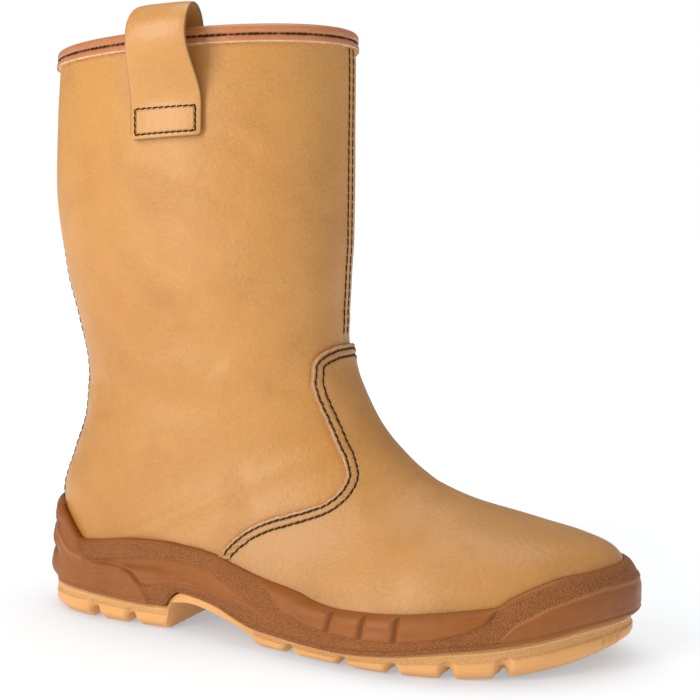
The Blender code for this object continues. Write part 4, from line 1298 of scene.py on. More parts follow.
@dataclass(frozen=True)
class Leg:
    """The upper: a fine skin with its creases, its back strip and its front seam."""

    strip_half: float = 0.0170
    strip_rise: float = 0.0007
    strip_edge: float = 0.0009
    inner_row: float = 0.0018
    front_rows: tuple[float, float] = (0.0012, 0.0062)
    lap_rise: float = 0.0006
    lap_start: float = 0.0016
    lap_edge: float = 0.0008
    lap_reach: float = 0.05
    lap_fade: float = 0.045
    lap_end: tuple[int, int] = (76, 8)
    front_end: int = 76
    back_end: int = 116
    first_row: int = 2
    waves: int = 26
    wave_depth: float = 0.00004
    top_rows: int = 6
    hem_step: int = 4
    # The worn zone at the ankle's front: its strength, place and size; the finish deepens its wrinkles and
    # paints shade into their troughs
    worn_share: float = 0.8
    worn_place: tuple[float, float] = (0.027, 36)
    worn_size: tuple[float, float] = (0.020, 17)

    def lift(self, skin: Skin) -> Array:
        """How far the creases and the strips lift the skin.

        Args:
            skin: the upper's skin.

        Returns:
            The lift at each of its points.
        """
        lift = sum((crease.lift(skin) for crease in CREASES), np.zeros(skin.points.shape[:2]))
        random = np.random.default_rng(SEED)
        rows, cols = np.mgrid[0:skin.rows, 0:skin.rounds]
        angle = 2 * math.pi * cols / (skin.rounds - 1)
        for _ in range(self.waves):
            wide, tall = random.integers(1, 9), random.uniform(0.02, 0.14)
            turn = random.uniform(0, 2 * math.pi)
            lift += self.wave_depth * np.sin(wide * angle + tall * rows + turn) / math.sqrt(wide)
        leg = rows <= skin.heel_row
        strip = ease((self.strip_half - np.abs(skin.from_back)) / self.strip_edge + 0.5) * leg
        lap = ease((skin.from_front - self.front_rows[0] + self.lap_start) / self.lap_edge) * leg
        lap *= ease((self.lap_reach - skin.from_front) / self.lap_fade)
        lap *= ease((self.lap_end[0] - rows) / self.lap_end[1])
        raised_parts = lift + self.strip_rise * strip + self.lap_rise * lap
        return raised_parts * ease(rows / self.top_rows + 0.2)

    def seam_lines(self, skin: Skin) -> list[tuple[Array, Array]]:
        """The two rows along the front and the two along the back strip.

        Args:
            skin: the upper's skin.

        Returns:
            Each row's points and outward directions.
        """
        front = range(self.first_row, self.front_end)
        back = range(self.first_row, self.back_end)
        lines = [skin.row_line(skin.from_front, offset, front) for offset in self.front_rows]
        inner = self.strip_half - self.inner_row
        lines += [skin.row_line(skin.from_back, sign * inner, back) for sign in (-1, 1)]
        return lines

    def build(self, skin: Skin, lift: Array) -> Any:
        """Make the upper's piece.

        Args:
            skin: the upper's skin.
            lift: how far it is lifted.

        Returns:
            The piece.
        """
        outer = on_floor(skin.points + skin.normals * lift[..., None])
        coarse = np.array([*range(0, skin.heel_row, self.hem_step),
                           *range(skin.heel_row, skin.rows, self.hem_step)])
        inner = on_floor(skin.points[coarse] - skin.normals[coarse] * LEATHER)
        near = skin.index(np.arange(skin.rows), 0)
        far = skin.index(coarse, skin.rows * skin.rounds)
        faces = quads(near) + quads(far[:, ::-1]) + quads(np.stack([near[0], far[0]]))
        hem = coarse >= skin.heel_row
        for column in (0, -1):
            faces += zipper(near[skin.heel_row:, column].tolist(), far[hem, column].tolist())
        seams = np.stack([np.abs(skin.from_front - offset) for offset in self.front_rows]
                         + [np.abs(np.abs(skin.from_back) - self.strip_half + self.inner_row),
                            np.abs(np.abs(skin.from_back) - self.strip_half)]).min(axis=0)
        seams[skin.heel_row + 1:] = 1.0
        values = np.concatenate([seams.ravel(), np.ones(inner.size // 3)])
        points = np.concatenate([outer.reshape(-1, 3), inner.reshape(-1, 3)])
        # The leather at the ankle's front is creased by wear; the finish also paints shade into the troughs
        # of these wrinkles
        beside = (np.abs(skin.from_front) - self.worn_place[0]) / self.worn_size[0]
        level = (np.arange(skin.rows)[:, None] - self.worn_place[1]) / self.worn_size[1]
        worn = self.worn_share * np.exp(-beside ** 2 - level ** 2)
        worn = np.concatenate([worn.ravel(), np.zeros(inner.size // 3)])
        return add_piece("upper_shell", points, faces, [Finish.UPPER], ["upper"],
                         {"seam": values, "edge": np.ones_like(values), "worn": worn})


@dataclass(eq=False)
class Vamp:
    """The vamp: a second layer of leather over the foot, with a raw edge and two stitched rows."""

    skin: Skin
    lift: Array
    row_near: float = 0.0017
    row_far: float = 0.0052
    edge_steps: int = 400
    edge_step: float = 0.0008
    rim_step: float = 0.0006
    beyond: float = 0.03
    block: int = 4000
    clear: float = 0.0012
    shortest: int = 20
    rounding: tuple[float, float] = (0.0005, 0.0012)
    fray_step: float = 0.00016
    fray_layers: int = 3
    fray_length: tuple[float, float] = (0.0003, 0.0010)
    fray_width: float = 0.00009
    foot_middle: Triple = (0.23, 0.0, 0.05)

    def __post_init__(self) -> None:
        """Cut the vamp out of the skin."""
        skin = self.skin
        first = int(VAMP_TOP * ROUNDS / 2)
        marks = np.array([(e.along * SOLE_LENGTH, e.up) for e in VAMP_EDGE])
        run = run_length(marks)
        at = np.linspace(0, run[-1], self.edge_steps)
        line = np.stack([smooth(run, marks[:, k], at) for k in range(2)], axis=1)
        front = SOLE_LENGTH + SOLE_EDGE
        self.edge = np.concatenate([[(front, 1.3 * INSTEP_HEIGHT)], line, [(line[-1, 0], 0.0)]])
        field = self._signed(skin.points[..., (0, 2)])
        field[:first] = -1.0
        rows = range(first, skin.rows)
        self.cut = Cut(skin, field, rows)
        rim = [self.cut.read(skin.points)[line] for line in self.cut.lines()]
        targets = np.concatenate([resample(line, self.rim_step) for line in rim])
        gap = np.full(field.shape, -1.0)
        gap[first:] = distance_to(targets, skin.points[first:])
        gap = np.where(field > 0, gap, -gap)
        self.gap = gap
        self.rows = [Cut(skin, np.where(gap > -self.beyond, gap - away, -self.beyond), rows)
                     for away in (self.row_near, self.row_far)]

    def _signed(self, spots: Array) -> Array:
        """Distance in side view from the vamp's edge, above zero in front of it.

        Args:
            spots: places in side view.

        Returns:
            The distances.
        """
        dense = resample(self.edge, self.edge_step)
        flat = spots.reshape(-1, 2)
        best = np.empty(len(flat))
        for start in range(0, len(flat), self.block):
            part = slice(start, start + self.block)
            best[part] = np.sqrt(((flat[part][:, None] - dense[None]) ** 2).sum(axis=2)).min(axis=1)
        ring = np.concatenate([self.edge, [(SOLE_LENGTH + SOLE_EDGE, 0.0)]])
        inside = np.zeros(len(flat), bool)
        for a, b in zip(ring, np.roll(ring, -1, axis=0)):
            crosses = (a[1] > flat[:, 1]) != (b[1] > flat[:, 1])
            rise = b[1] - a[1] if b[1] != a[1] else 1e-9
            inside ^= crosses & (flat[:, 0] < (b[0] - a[0]) * (flat[:, 1] - a[1]) / rise + a[0])
        return np.where(inside, best, -best).reshape(spots.shape[:-1])

    def surface(self, cut: Cut, away: float) -> Array:
        """The places of a cut's points at a height over the skin."""
        lift = cut.read(self.lift[..., None])
        return on_floor(cut.read(self.skin.points) + unit(cut.read(self.skin.normals)) * (lift + away))

    def seam_lines(self) -> list[tuple[Array, Array]]:
        """The two stitched rows with their outward directions, above the sole.

        Returns:
            Each row's points and directions.
        """
        lines = []
        for cut in self.rows:
            places = self.surface(cut, SEAT_GAP + VAMP_LEATHER)
            normals = unit(cut.read(self.skin.normals))
            for line in cut.lines():
                spots, ways = places[line], normals[line]
                clear = spots[:, 2] > height(WALL_TOP, spots[:, 0]) + self.clear
                turns = np.nonzero(np.diff(clear.astype(int)))[0] + 1
                for part in np.split(np.arange(len(line)), turns):
                    if clear[part[0]] and len(part) > self.shortest:
                        lines.append((spots[part], ways[part]))
        return lines

    def build(self) -> Any:
        """Make the vamp's piece.

        Returns:
            The piece.
        """
        far = self.surface(self.cut, SEAT_GAP + VAMP_LEATHER)
        near = self.surface(self.cut, SEAT_GAP * 0.5)
        gap = np.abs(self.cut.read(self.gap[..., None])[:, 0])
        rounding, run = self.rounding
        far -= unit(self.cut.read(self.skin.normals)) * (rounding * ease(1 - gap / run))[:, None]
        points, faces, main = self.cut.solid(near, far)
        seam = np.minimum(np.abs(gap - self.row_near), np.abs(gap - self.row_far))
        which = [0] * main + [1] * (len(faces) - main)
        ones = np.ones(len(near))
        return add_piece("vamp_shell", points, faces, [Finish.VAMP, Finish.CUT],
                         ["vamp"], {"seam": np.concatenate([seam, ones]),
                                    "edge": np.concatenate([gap, ones])}, which)

    def frayed(self) -> Any:
        """Make the pale fibres along the raw edge.

        Returns:
            The piece.
        """
        random = np.random.default_rng(SEED + 1)
        roots, ways = [], []
        places = self.surface(self.cut, SEAT_GAP + 0.6 * VAMP_LEATHER)
        normals = unit(self.cut.read(self.skin.normals))
        for line in self.cut.lines():
            spots = resample(np.hstack([places[line], 1e-6 * normals[line]]), self.fray_step)
            spots[:, 3:] = unit(spots[:, 3:])
            ahead = unit(np.gradient(spots[:, :3], axis=0))
            side = np.cross(ahead, spots[:, 3:])
            middle = unit(np.array(self.foot_middle) - spots[:, :3])
            side *= -np.sign(np.einsum("ij,ij->i", side, middle))[:, None]
            for _ in range(self.fray_layers):
                depth = random.uniform(-0.5, 0.5, (len(spots), 1)) * VAMP_LEATHER
                roots.append(spots[:, :3] + spots[:, 3:] * depth)
                ways.append(unit(side + 0.6 * ahead * random.normal(size=depth.shape)
                                 + 0.5 * spots[:, 3:] * random.normal(size=depth.shape)))
        roots, ways = np.concatenate(roots), np.concatenate(ways)
        length = random.uniform(*self.fray_length, len(roots))
        points, faces = strands(roots, ways, length, self.fray_width, 0.5, random)
        return add_piece("vamp_fray", points, faces, [Finish.CUT], closed=False)


COLLAR_STEP, COLLAR_BELOW = 0.004, 0.04


def collar_frame(last: Last, around: Array) -> tuple[Array, Array, Array]:
    """Point, outward and upward directions at spots on the shaft's top edge.

    Args:
        last: the upper's outer surface.
        around: shares of the way round.

    Returns:
        The points and both directions.
    """
    around = np.asarray(around, float)
    spot = last.point(0.0, around % 1.0)
    ahead = (last.point(0.0, (around + COLLAR_STEP) % 1.0)
             - last.point(0.0, (around - COLLAR_STEP) % 1.0))
    up = unit(spot - last.point(COLLAR_BELOW, around % 1.0))
    return spot, unit(np.cross(ahead, up)), up


@dataclass(frozen=True)
class Binding:
    """The bound collar: a round bead, a stitched groove and a flat band with a frayed edge."""

    steps: int = 420
    groove: float = -0.0012
    groove_depth: float = 0.0006
    bead_steps: int = 27
    bead_turn: float = 14.0
    waves: tuple[tuple[float, float], ...] = ((0.00012, 0.31), (0.0001, 0.83))
    fibres: int = 4200
    fibre_length: tuple[float, float] = (0.0003, 0.0011)
    fibre_width: float = 0.00009

    def profile(self) -> Array:
        """The outline of the strip, from the outer lower edge over the bead to the inner one.

        Returns:
            How far its points stand off the skin, and their heights.
        """
        face = SEAT_GAP + BINDING
        side = [(face - 0.0009, -BINDING_DROP), (face - 0.0002, -BINDING_DROP + 0.0001),
                (face, -BINDING_DROP + 0.0006), (face + 0.0001, -0.0034), (face - 0.00005, -0.0024),
                (face - 0.0004, -0.0017), (face - self.groove_depth, self.groove), (face - 0.0004, -0.0007),
                (face + 0.0, -0.0001)]
        centre = -LEATHER / 2
        bead = [(centre + 1.1 * BINDING_BEAD * math.cos(a), 0.45 * BINDING_BEAD
                 + BINDING_BEAD * math.sin(a)) for a in np.radians(
                     np.linspace(-self.bead_turn, 180 + self.bead_turn, self.bead_steps))]
        other = [(2 * centre - n, h) for n, h in side[::-1]]
        return np.array(side + bead + other)

    def build(self, last: Last) -> Any:
        """Make the binding's piece.

        Args:
            last: the upper's outer surface.

        Returns:
            The piece.
        """
        spot, out, up = collar_frame(last, np.linspace(0, 1, self.steps, endpoint=False))
        profile = self.profile()
        low = np.array([(-LEATHER - SEAT_GAP, -BINDING_DROP), (SEAT_GAP, -BINDING_DROP)])
        ring = np.concatenate([profile, low])
        wave = sum(depth * np.sin(np.arange(self.steps) * rate) for depth, rate in self.waves)
        stand = ring[None, :, :1] + wave[:, None, None] * (ring[None, :, 1:] < 0)
        points = spot[:, None] + out[:, None] * stand + up[:, None] * ring[None, :, 1:]
        index = np.arange(points.size // 3).reshape(points.shape[:2])
        index = np.concatenate([index, index[:, :1]], axis=1)
        index = np.concatenate([index, index[:1]])
        seam = np.abs(ring[:, 1] - self.groove) + 0.0001
        edge = np.abs(ring[:, 1] + BINDING_DROP) + 0.0002
        values = {"seam": np.tile(seam, self.steps), "edge": np.tile(edge, self.steps)}
        return add_piece("binding_strip", points.reshape(-1, 3), quads(index), [Finish.BINDING],
                         ["collar_binding"], values)

    def seam_lines(self, last: Last) -> list[tuple[Array, Array]]:
        """The stitched row outside and the one inside.

        Args:
            last: the upper's outer surface.

        Returns:
            Each row's points and outward directions.
        """
        spot, out, up = collar_frame(last, np.linspace(0, 1, self.steps))
        stand = SEAT_GAP + BINDING - self.groove_depth
        return [(spot + up * self.groove + out * stand, out),
                (spot + up * self.groove - out * (stand + LEATHER), -out)]

    def frayed(self, last: Last) -> Any:
        """Make the pale fibres under the strip's cut edge.

        Args:
            last: the upper's outer surface.

        Returns:
            The piece.
        """
        random = np.random.default_rng(SEED + 2)
        spot, out, up = collar_frame(last, random.uniform(0, 1, self.fibres))
        depth = random.uniform(0.2, 1.0, (len(spot), 1)) * BINDING
        roots = spot + out * (SEAT_GAP + depth) - up * (BINDING_DROP - 0.0002)
        side = np.cross(out, up)
        ways = unit(-up + side * random.normal(size=depth.shape) * 0.6 + out * 0.25)
        length = random.uniform(*self.fibre_length, len(spot))
        points, faces = strands(roots, ways, length, self.fibre_width, 0.5, random)
        return add_piece("binding_fray", points, faces, [Finish.CUT], closed=False)


@dataclass
class PullLoop:
    """A leather strap sewn outside and inside the collar that stands up as a hoop."""

    last: Last
    side: str
    around: float
    box_low: float = -0.0435
    box_high: float = -0.0315
    box_half: float = 0.0145
    box_edge: float = 0.0004
    box_steps: int = 30
    probe: float = 0.01
    rise_steps: int = 24
    bow_steps: int = 26
    seat_steps: int = 14
    ring_steps: int = 44
    corner_run: float = 0.004
    corner_cut: float = 0.10
    below: float = 0.13

    def __post_init__(self) -> None:
        """Measure the collar where the strap stands."""
        near = (self.last.point(0.0, self.around + self.probe)
                - self.last.point(0.0, self.around - self.probe))
        self.per_metre = 2 * self.probe / float(np.linalg.norm(near))

    def path(self) -> Array:
        """The strap's middle line: height over the edge and stand off it.

        Returns:
            Its points, from the outer end to the inner one.
        """
        outer = SEAT_GAP + STRAP / 2
        inner = -LEATHER - LINING - STRAP / 2
        middle = (outer + HOOP_STAND + inner - HOOP_INSIDE) / 2
        radius = outer + HOOP_STAND - middle
        foot, top = -STRAP_DROP + STRAP_SEAT, HOOP_RISE - STRAP / 2 - radius
        share = np.linspace(0, 1, self.rise_steps)[1:]
        swell = share * share * (3 - 2 * share)
        outside = np.stack([foot + (top - foot) * share, outer + HOOP_STAND * swell], axis=1)
        turn = np.linspace(0, math.pi, self.bow_steps)[1:-1]
        bow = np.stack([top + radius * np.sin(turn), middle + radius * np.cos(turn)], axis=1)
        inside = np.stack([foot + (top - foot) * share, inner - HOOP_INSIDE * swell], axis=1)[::-1]
        seat = np.linspace(-STRAP_DROP, foot, self.seat_steps)
        start = np.stack([seat, np.full(self.seat_steps, outer)], axis=1)
        end = np.stack([seat[::-1], np.full(self.seat_steps, inner)], axis=1)
        return np.concatenate([start, outside, bow, inside, end])

    def place(self, up: Array, stand: Array, across: Array) -> tuple[Array, Array]:
        """Points on the strap and the directions out of the boot.

        Args:
            up: heights over the shaft's edge.
            stand: distances off its skin.
            across: shares of the half width.

        Returns:
            The points and the directions.
        """
        neck = np.clip((up + STRAP_DROP - STRAP_SEAT) / (STRAP_DROP - STRAP_SEAT), 0, 1)
        width = STRAP_WIDTH + (STRAP_NECK - STRAP_WIDTH) * neck * neck * (3 - 2 * neck)
        at = self.around + across * width / 2 * self.per_metre
        spot, out, rise = collar_frame(self.last, at)
        run = np.linalg.norm(self.last.point(self.below, at) - spot, axis=-1)
        drop = self.below * np.maximum(-up, 0) / run
        low = self.last.point(drop, at)
        way = unit(low - self.last.point(drop + 2 * self.probe, at))
        ahead = self.last.point(drop, at + COLLAR_STEP) - self.last.point(drop, at - COLLAR_STEP)
        side = unit(np.cross(ahead, way))
        under = (up < 0)[..., None]
        base = np.where(under, low, spot + rise * np.maximum(up, 0)[..., None])
        out = np.where(under, side, out)
        return base + out * stand[..., None], out

    def build(self) -> Any:
        """Make the strap's piece.

        Returns:
            The piece.
        """
        path = self.path()
        turn = np.linspace(0, 2 * math.pi, self.ring_steps, endpoint=False)
        across = np.sign(np.cos(turn)) * np.abs(np.cos(turn)) ** 0.5
        thick = np.sign(np.sin(turn)) * np.abs(np.sin(turn)) ** 0.35
        ahead = unit(np.gradient(path, axis=0))
        normal = np.stack([-ahead[:, 1], ahead[:, 0]], axis=1) * -1
        up = path[:, :1] + normal[:, :1] * thick * STRAP / 2
        stand = path[:, 1:] + normal[:, 1:] * thick * STRAP / 2
        wide = np.broadcast_to(across, up.shape).copy()
        length = run_length(path)
        end = np.minimum(length, length[-1] - length)
        wide *= (1 - self.corner_cut * (1 - np.clip(end / self.corner_run, 0, 1)) ** 2)[:, None]
        points, _ = self.place(up, stand, wide)
        count = len(turn)
        index = np.arange(points.size // 3).reshape(-1, count)
        faces = quads(np.concatenate([index, index[:, :1]], axis=1))
        faces += [tuple(index[0]), tuple(index[-1][::-1])]
        half = STRAP_WIDTH / 2
        aside = np.abs(wide) * half
        edge = np.minimum(half - aside, end[:, None])
        box = np.stack([np.abs(up - self.box_low), np.abs(up - self.box_high),
                        np.abs(aside - self.box_half)])
        within = ((up > self.box_low - self.box_edge) & (up < self.box_high + self.box_edge)
                  & (aside < self.box_half + self.box_edge))
        seam = np.where(within, box.min(axis=0), 1.0)
        values = {"seam": seam.ravel(), "edge": edge.ravel()}
        return add_piece(f"strap_{self.side}", points.reshape(-1, 3), faces, [Finish.LOOP],
                         [f"pull_loop_{self.side}"], values)

    def seam_lines(self) -> list[tuple[Array, Array]]:
        """The stitched box outside and the one inside.

        Returns:
            Each row's points and outward directions.
        """
        half = STRAP_WIDTH / 2
        wide = self.box_half / half
        corners = np.array([(self.box_low, -wide), (self.box_low, wide), (self.box_high, wide),
                            (self.box_high, -wide), (self.box_low, -wide)])
        lines = []
        outer, inner = SEAT_GAP + STRAP, -LEATHER - LINING - STRAP
        for stand, sign in ((outer, 1), (inner, -1)):
            for a, b in zip(corners[:-1], corners[1:]):
                run = a + (b - a) * np.linspace(0, 1, self.box_steps)[:, None]
                spots, out = self.place(run[:, 0], np.full(self.box_steps, stand), run[:, 1])
                lines.append((spots, out * sign))
        return lines


@dataclass(frozen=True)
class Lining:
    """The fleece inside the shaft: a soft shell with tufts."""

    near: float = 0.0021
    far: float = 0.0046
    rough: float = 0.0009
    row_step: int = 2
    tufts: int = 15000
    tuft_rows: tuple[float, float] = (2, 90)
    tuft_length: tuple[float, float] = (0.0018, 0.0036)
    tuft_width: float = 0.00034
    tuft_curl: float = 0.45
    tuft_root: float = 0.0006
    tuft_lean: float = 0.45

    def build(self, skin: Skin) -> list[Any]:
        """Make the shell and its tufts.

        Args:
            skin: the upper's skin.

        Returns:
            Both pieces.
        """
        random = np.random.default_rng(SEED + 3)
        rows = np.arange(0, skin.rows, self.row_step)
        outer = on_floor(skin.points[rows] - skin.normals[rows] * self.near)
        depth = self.far + self.rough * random.uniform(-1, 1, (len(rows), skin.rounds, 1))
        depth[:, -1] = depth[:, 0]
        depth[-1] = self.far
        inner = on_floor(skin.points[rows] - skin.normals[rows] * depth)
        near, far = skin.index(rows, 0), skin.index(rows, outer.size // 3)
        faces = quads(near) + quads(far[:, ::-1]) + quads(np.stack([near[0], far[0]]))
        foot = rows >= skin.heel_row
        for column in (0, -1):
            faces += quads(np.stack([near[foot, column], far[foot, column]]))
        points = np.concatenate([outer.reshape(-1, 3), inner.reshape(-1, 3)])
        shell = add_piece("fleece_lining", points, faces, [Finish.FLEECE])
        row = random.uniform(*self.tuft_rows, self.tufts)
        place, around = row / (ROUNDS / 2), random.uniform(0, 1, self.tufts)
        spot = skin.last.point(place, around)
        way = skin.normals[row.astype(int), np.minimum((around * ROUNDS).astype(int), ROUNDS - 1)]
        roots = spot - way * (self.far - self.tuft_root)
        ways = unit(-way + chance(random, way.shape) * self.tuft_lean)
        length = random.uniform(*self.tuft_length, self.tufts)
        made, sides = strands(roots, ways, length, self.tuft_width, self.tuft_curl, random)
        pile = add_piece("fleece_pile", made, sides, [Finish.FLEECE], closed=False)
        return [shell, pile]


def band(points: Sequence[tuple[float, float]], x: Array) -> Array:
    """Read a line given in millimetres at places along the sole."""
    line = np.array(points) * MILLIMETRE
    return np.interp(x, line[:, 0], line[:, 1])


def crest(gap: Array, width: float) -> Array:
    """1 on a line and falling off softly to both sides of it."""
    return np.exp(-(gap / width) ** 2)


def region(x: Array, z: Array, first: float, last: float, low: Array, high: Array, soft: float) -> Array:
    """1 within a field of the sole's side and 0 outside, with soft borders.

    Args:
        x: distances from the back of the heel.
        z: heights.
        first: where the field starts.
        last: where it ends.
        low: its lower line.
        high: its upper line.
        soft: the width of its border.

    Returns:
        The field's strength.
    """
    run = np.maximum(np.gradient(x, axis=-1), 1e-5)
    rise, fall = (np.clip(np.gradient(line, axis=-1) / run, -3, 3) for line in (low, high))
    under = (z - low) / np.sqrt(1 + rise ** 2)
    over = (high - z) / np.sqrt(1 + fall ** 2)
    inside = np.minimum(np.minimum(under, over), np.minimum(x - first, last - x))
    return ease(inside / soft + 0.5)


# Lines on the midsole's side in millimetres, counted from the back of the heel and the floor
HEEL_UP = ((0, 70), (26, 70), (27, 55), (29, 47.5), (33, 41), (37, 34), (41.5, 29.8), (52, 29.2), (62, 28.8),
           (68, 26.3), (73, 21.7), (78, 15.4))
PANEL_UP = ((43, 29.6), (52, 31), (62, 33), (73, 34.5), (80, 35.5), (95, 36), (114, 33), (130, 26.5),
            (142, 20), (153, 14))
PANEL_LOW = ((43, 29.3), (62, 28.8), (68, 26.3), (73, 21.7), (80, 21.3), (95, 23.4), (114, 22.8),
             (130, 21.5), (153, 13.4))
PAD_LOW = ((143, 31), (147, 30.5), (158, 21.6), (170, 17.6), (181, 16.2), (197, 15.9), (213, 16.6),
           (230, 19.3), (242, 23.2), (250.5, 27.7), (255, 33))
TOE_LINE = ((254, 17), (256, 20.3), (261, 26.4), (272, 32.5), (281.5, 36), (291, 38.4), (302, 38.5))
PAD_CUTS = (((183.4, 25.2), (181.0, 16.7)), ((199.3, 26.4), (197.5, 15.9)), ((214.2, 26.8), (213.2, 17.0)))
STRAP_LINE = ((8, 52), (14, 46), (20, 40), (26, 34.5), (33, 31.5), (41.5, 29.8))
KNUCKLES = (17.0, 30.0, 43.7, 55.5)
# Where the tread's side is drawn, as shares of its height, from the top down
TREAD_LEVELS = (1.0, 0.97, 0.93, 0.89, 0.86, 0.84, 0.81, 0.77, 0.72, 0.68, 0.65, 0.62, 0.59, 0.56, 0.52,
                0.44, 0.34, 0.24, 0.17, 0.11, 0.06, 0.02, 0.0)
# The toe's slanting cuts, counted round the outline from its tip
TOE_CUTS = (0.0150, 0.0195, 0.0240)


@dataclass(eq=False)
class Sole:
    """Both layers of the sole, drawn on stations round its outline.

    The relief lists how far the midsole's forms stand out or in: heel, panel, pad, dish, cuts,
    toe, knuckles, strap, lines, rim and foot line.
    """

    skin: Skin
    count: int = 420
    levels: int = 40
    probes: int = 9
    stride: int = 3
    relief: tuple[float, ...] = (0.0014, 0.0010, 0.0021, 0.0010, 0.0019, 0.0003, 0.0030, 0.0007,
                                 0.0006, 0.0002, 0.0004)
    rim_height: float = 0.0013
    foot_height: float = 0.0022
    cut_width: float = 0.0011
    cover_run: float = 0.014
    wall_foot: float = 0.004
    foot_round: tuple[float, float] = (0.0010, 0.0012)
    crown_round: tuple[float, float] = (0.0009, 0.0012)
    hold: float = 0.0002
    tread_round: tuple[float, float] = (0.0008, 0.0044)
    groove_sink: float = 0.0021
    slit_width: float = 0.0007
    slit_slant: float = 0.006
    slit_share: float = 0.7
    tread_inset: float = 0.0005
    tread_line: float = 0.0006
    tread_top: float = 0.0010
    tread_cols: int = 18
    tread_wave: float = 0.0003

    def __post_init__(self) -> None:
        """Lay out the stations round the outline with their outward directions."""
        even = np.linspace(0, 1, self.count)
        share = (1 - np.cos(np.pi * even)) / 2
        share = 0.45 * share + 0.55 * even
        share = np.where(even < 0.06, (1 - np.cos(np.pi * even * 0.9)) / 2 * 1.1, share)
        share = np.sort((share - share.min()) / (share.max() - share.min()))
        lateral, medial = outline_branches(0.0)
        x = lateral[0, 0] + (lateral[-1, 0] - lateral[0, 0]) * share
        one = np.stack([x, np.interp(x, np.maximum.accumulate(lateral[:, 0]), lateral[:, 1])], axis=1)
        two = np.stack([x, np.interp(x, np.maximum.accumulate(medial[:, 0]), medial[:, 1])], axis=1)
        self.ring = np.concatenate([one, two[::-1][1:-1]])
        along = unit(np.roll(self.ring, -1, axis=0) - np.roll(self.ring, 1, axis=0))
        for _ in range(3):
            along = unit(np.roll(along, 1, axis=0) + 2 * along + np.roll(along, -1, axis=0))
        self.out = np.stack([along[:, 1], -along[:, 0]], axis=1)
        self.x = self.ring[:, 0]

    def reach(self, heights: Array) -> Array:
        """How far the upper's skin stands outside the feather line, at given heights.

        Args:
            heights: the heights, a column for each station.

        Returns:
            The distances, in the same grid.
        """
        rows = self.skin.index(np.arange(self.skin.rows), 0)[::self.stride, ::self.stride]
        tree = BVHTree.FromPolygons(self.skin.points.reshape(-1, 3).tolist(), quads(rows))
        reach = 4 * SOLE_EDGE
        found = np.zeros_like(heights)
        for k, (spot, way) in enumerate(zip(self.ring, self.out)):
            for r in range(len(heights)):
                start = Vector((*(spot + way * reach), heights[r, k]))
                hit = tree.ray_cast(start, Vector((-way[0], -way[1], 0)), 2 * reach)[0]
                if hit is not None:
                    found[r, k] = (np.array(hit[:2]) - spot + way * SOLE_EDGE) @ way
        return found

    def midsole(self) -> Any:
        """Make the darker layer with its moulded fields, ridges and heel wrap.

        Returns:
            The piece.
        """
        base = height(LAYER_LINE, self.x) + SEAT_GAP
        top = height(WALL_TOP, self.x)
        share = np.linspace(0, 1, self.levels)[:, None]
        z = base + (top - base) * share
        probe = np.linspace(0, 1, self.probes)
        floor = floor_height(self.x) + 0.0015
        spots = self.reach(np.maximum(base + (top - base) * probe[:, None], floor))
        for _ in range(2):
            spots = (np.roll(spots, 1, axis=1) + 2 * spots + np.roll(spots, -1, axis=1)) / 4
        lapped = ease((self.x - VAMP_EDGE[-1].along * SOLE_LENGTH) / self.cover_run)
        cover = SEAT_GAP + (SEAT_GAP + VAMP_LEATHER) * lapped
        skin = np.array([[np.interp(s, probe, spots[:, k]) for k in range(len(self.x))]
                         for s in share[:, 0]]) + cover
        rise = np.clip((z - base - self.wall_foot) / (top - base - self.wall_foot), 0, 1)
        thick = SOLE_EDGE + (LIP - SOLE_EDGE) * rise ** 1.5
        stand, relief, pebble = self.fields(z, base, top)
        (foot, foot_run), (crown, crown_run) = self.foot_round, self.crown_round
        thick = thick - foot * ease(1 - (z - base) / foot_run)
        away = skin + (thick + stand - SOLE_EDGE) - crown * (1 - ease((top - z) / crown_run))
        outer = np.concatenate([self.ring[None] + self.out[None] * away[..., None], z[..., None]], axis=2)
        inner_z = np.stack([top, (top + base) / 2, base])
        hold = np.stack([skin[-1], skin[self.levels // 2], skin[0]]) - SOLE_EDGE + self.hold
        inner = np.concatenate([self.ring[None] + self.out[None] * hold[..., None],
                                inner_z[..., None]], axis=2)
        rows = np.concatenate([outer, inner])
        count = len(self.x)
        index = np.arange(rows.size // 3).reshape(-1, count)
        index = np.concatenate([index, index[:, :1]], axis=1)
        index = np.concatenate([index, index[:1]])
        pad = np.zeros((3, count))
        # relief carries the painted highlights and painted shade to the finish
        values = {"relief": np.concatenate([relief, pad]).ravel(),
                  "pebble": np.concatenate([pebble, pad]).ravel()}
        return add_piece("midsole_wall", rows.reshape(-1, 3), quads(index), [Finish.MIDSOLE],
                         ["midsole"], values)

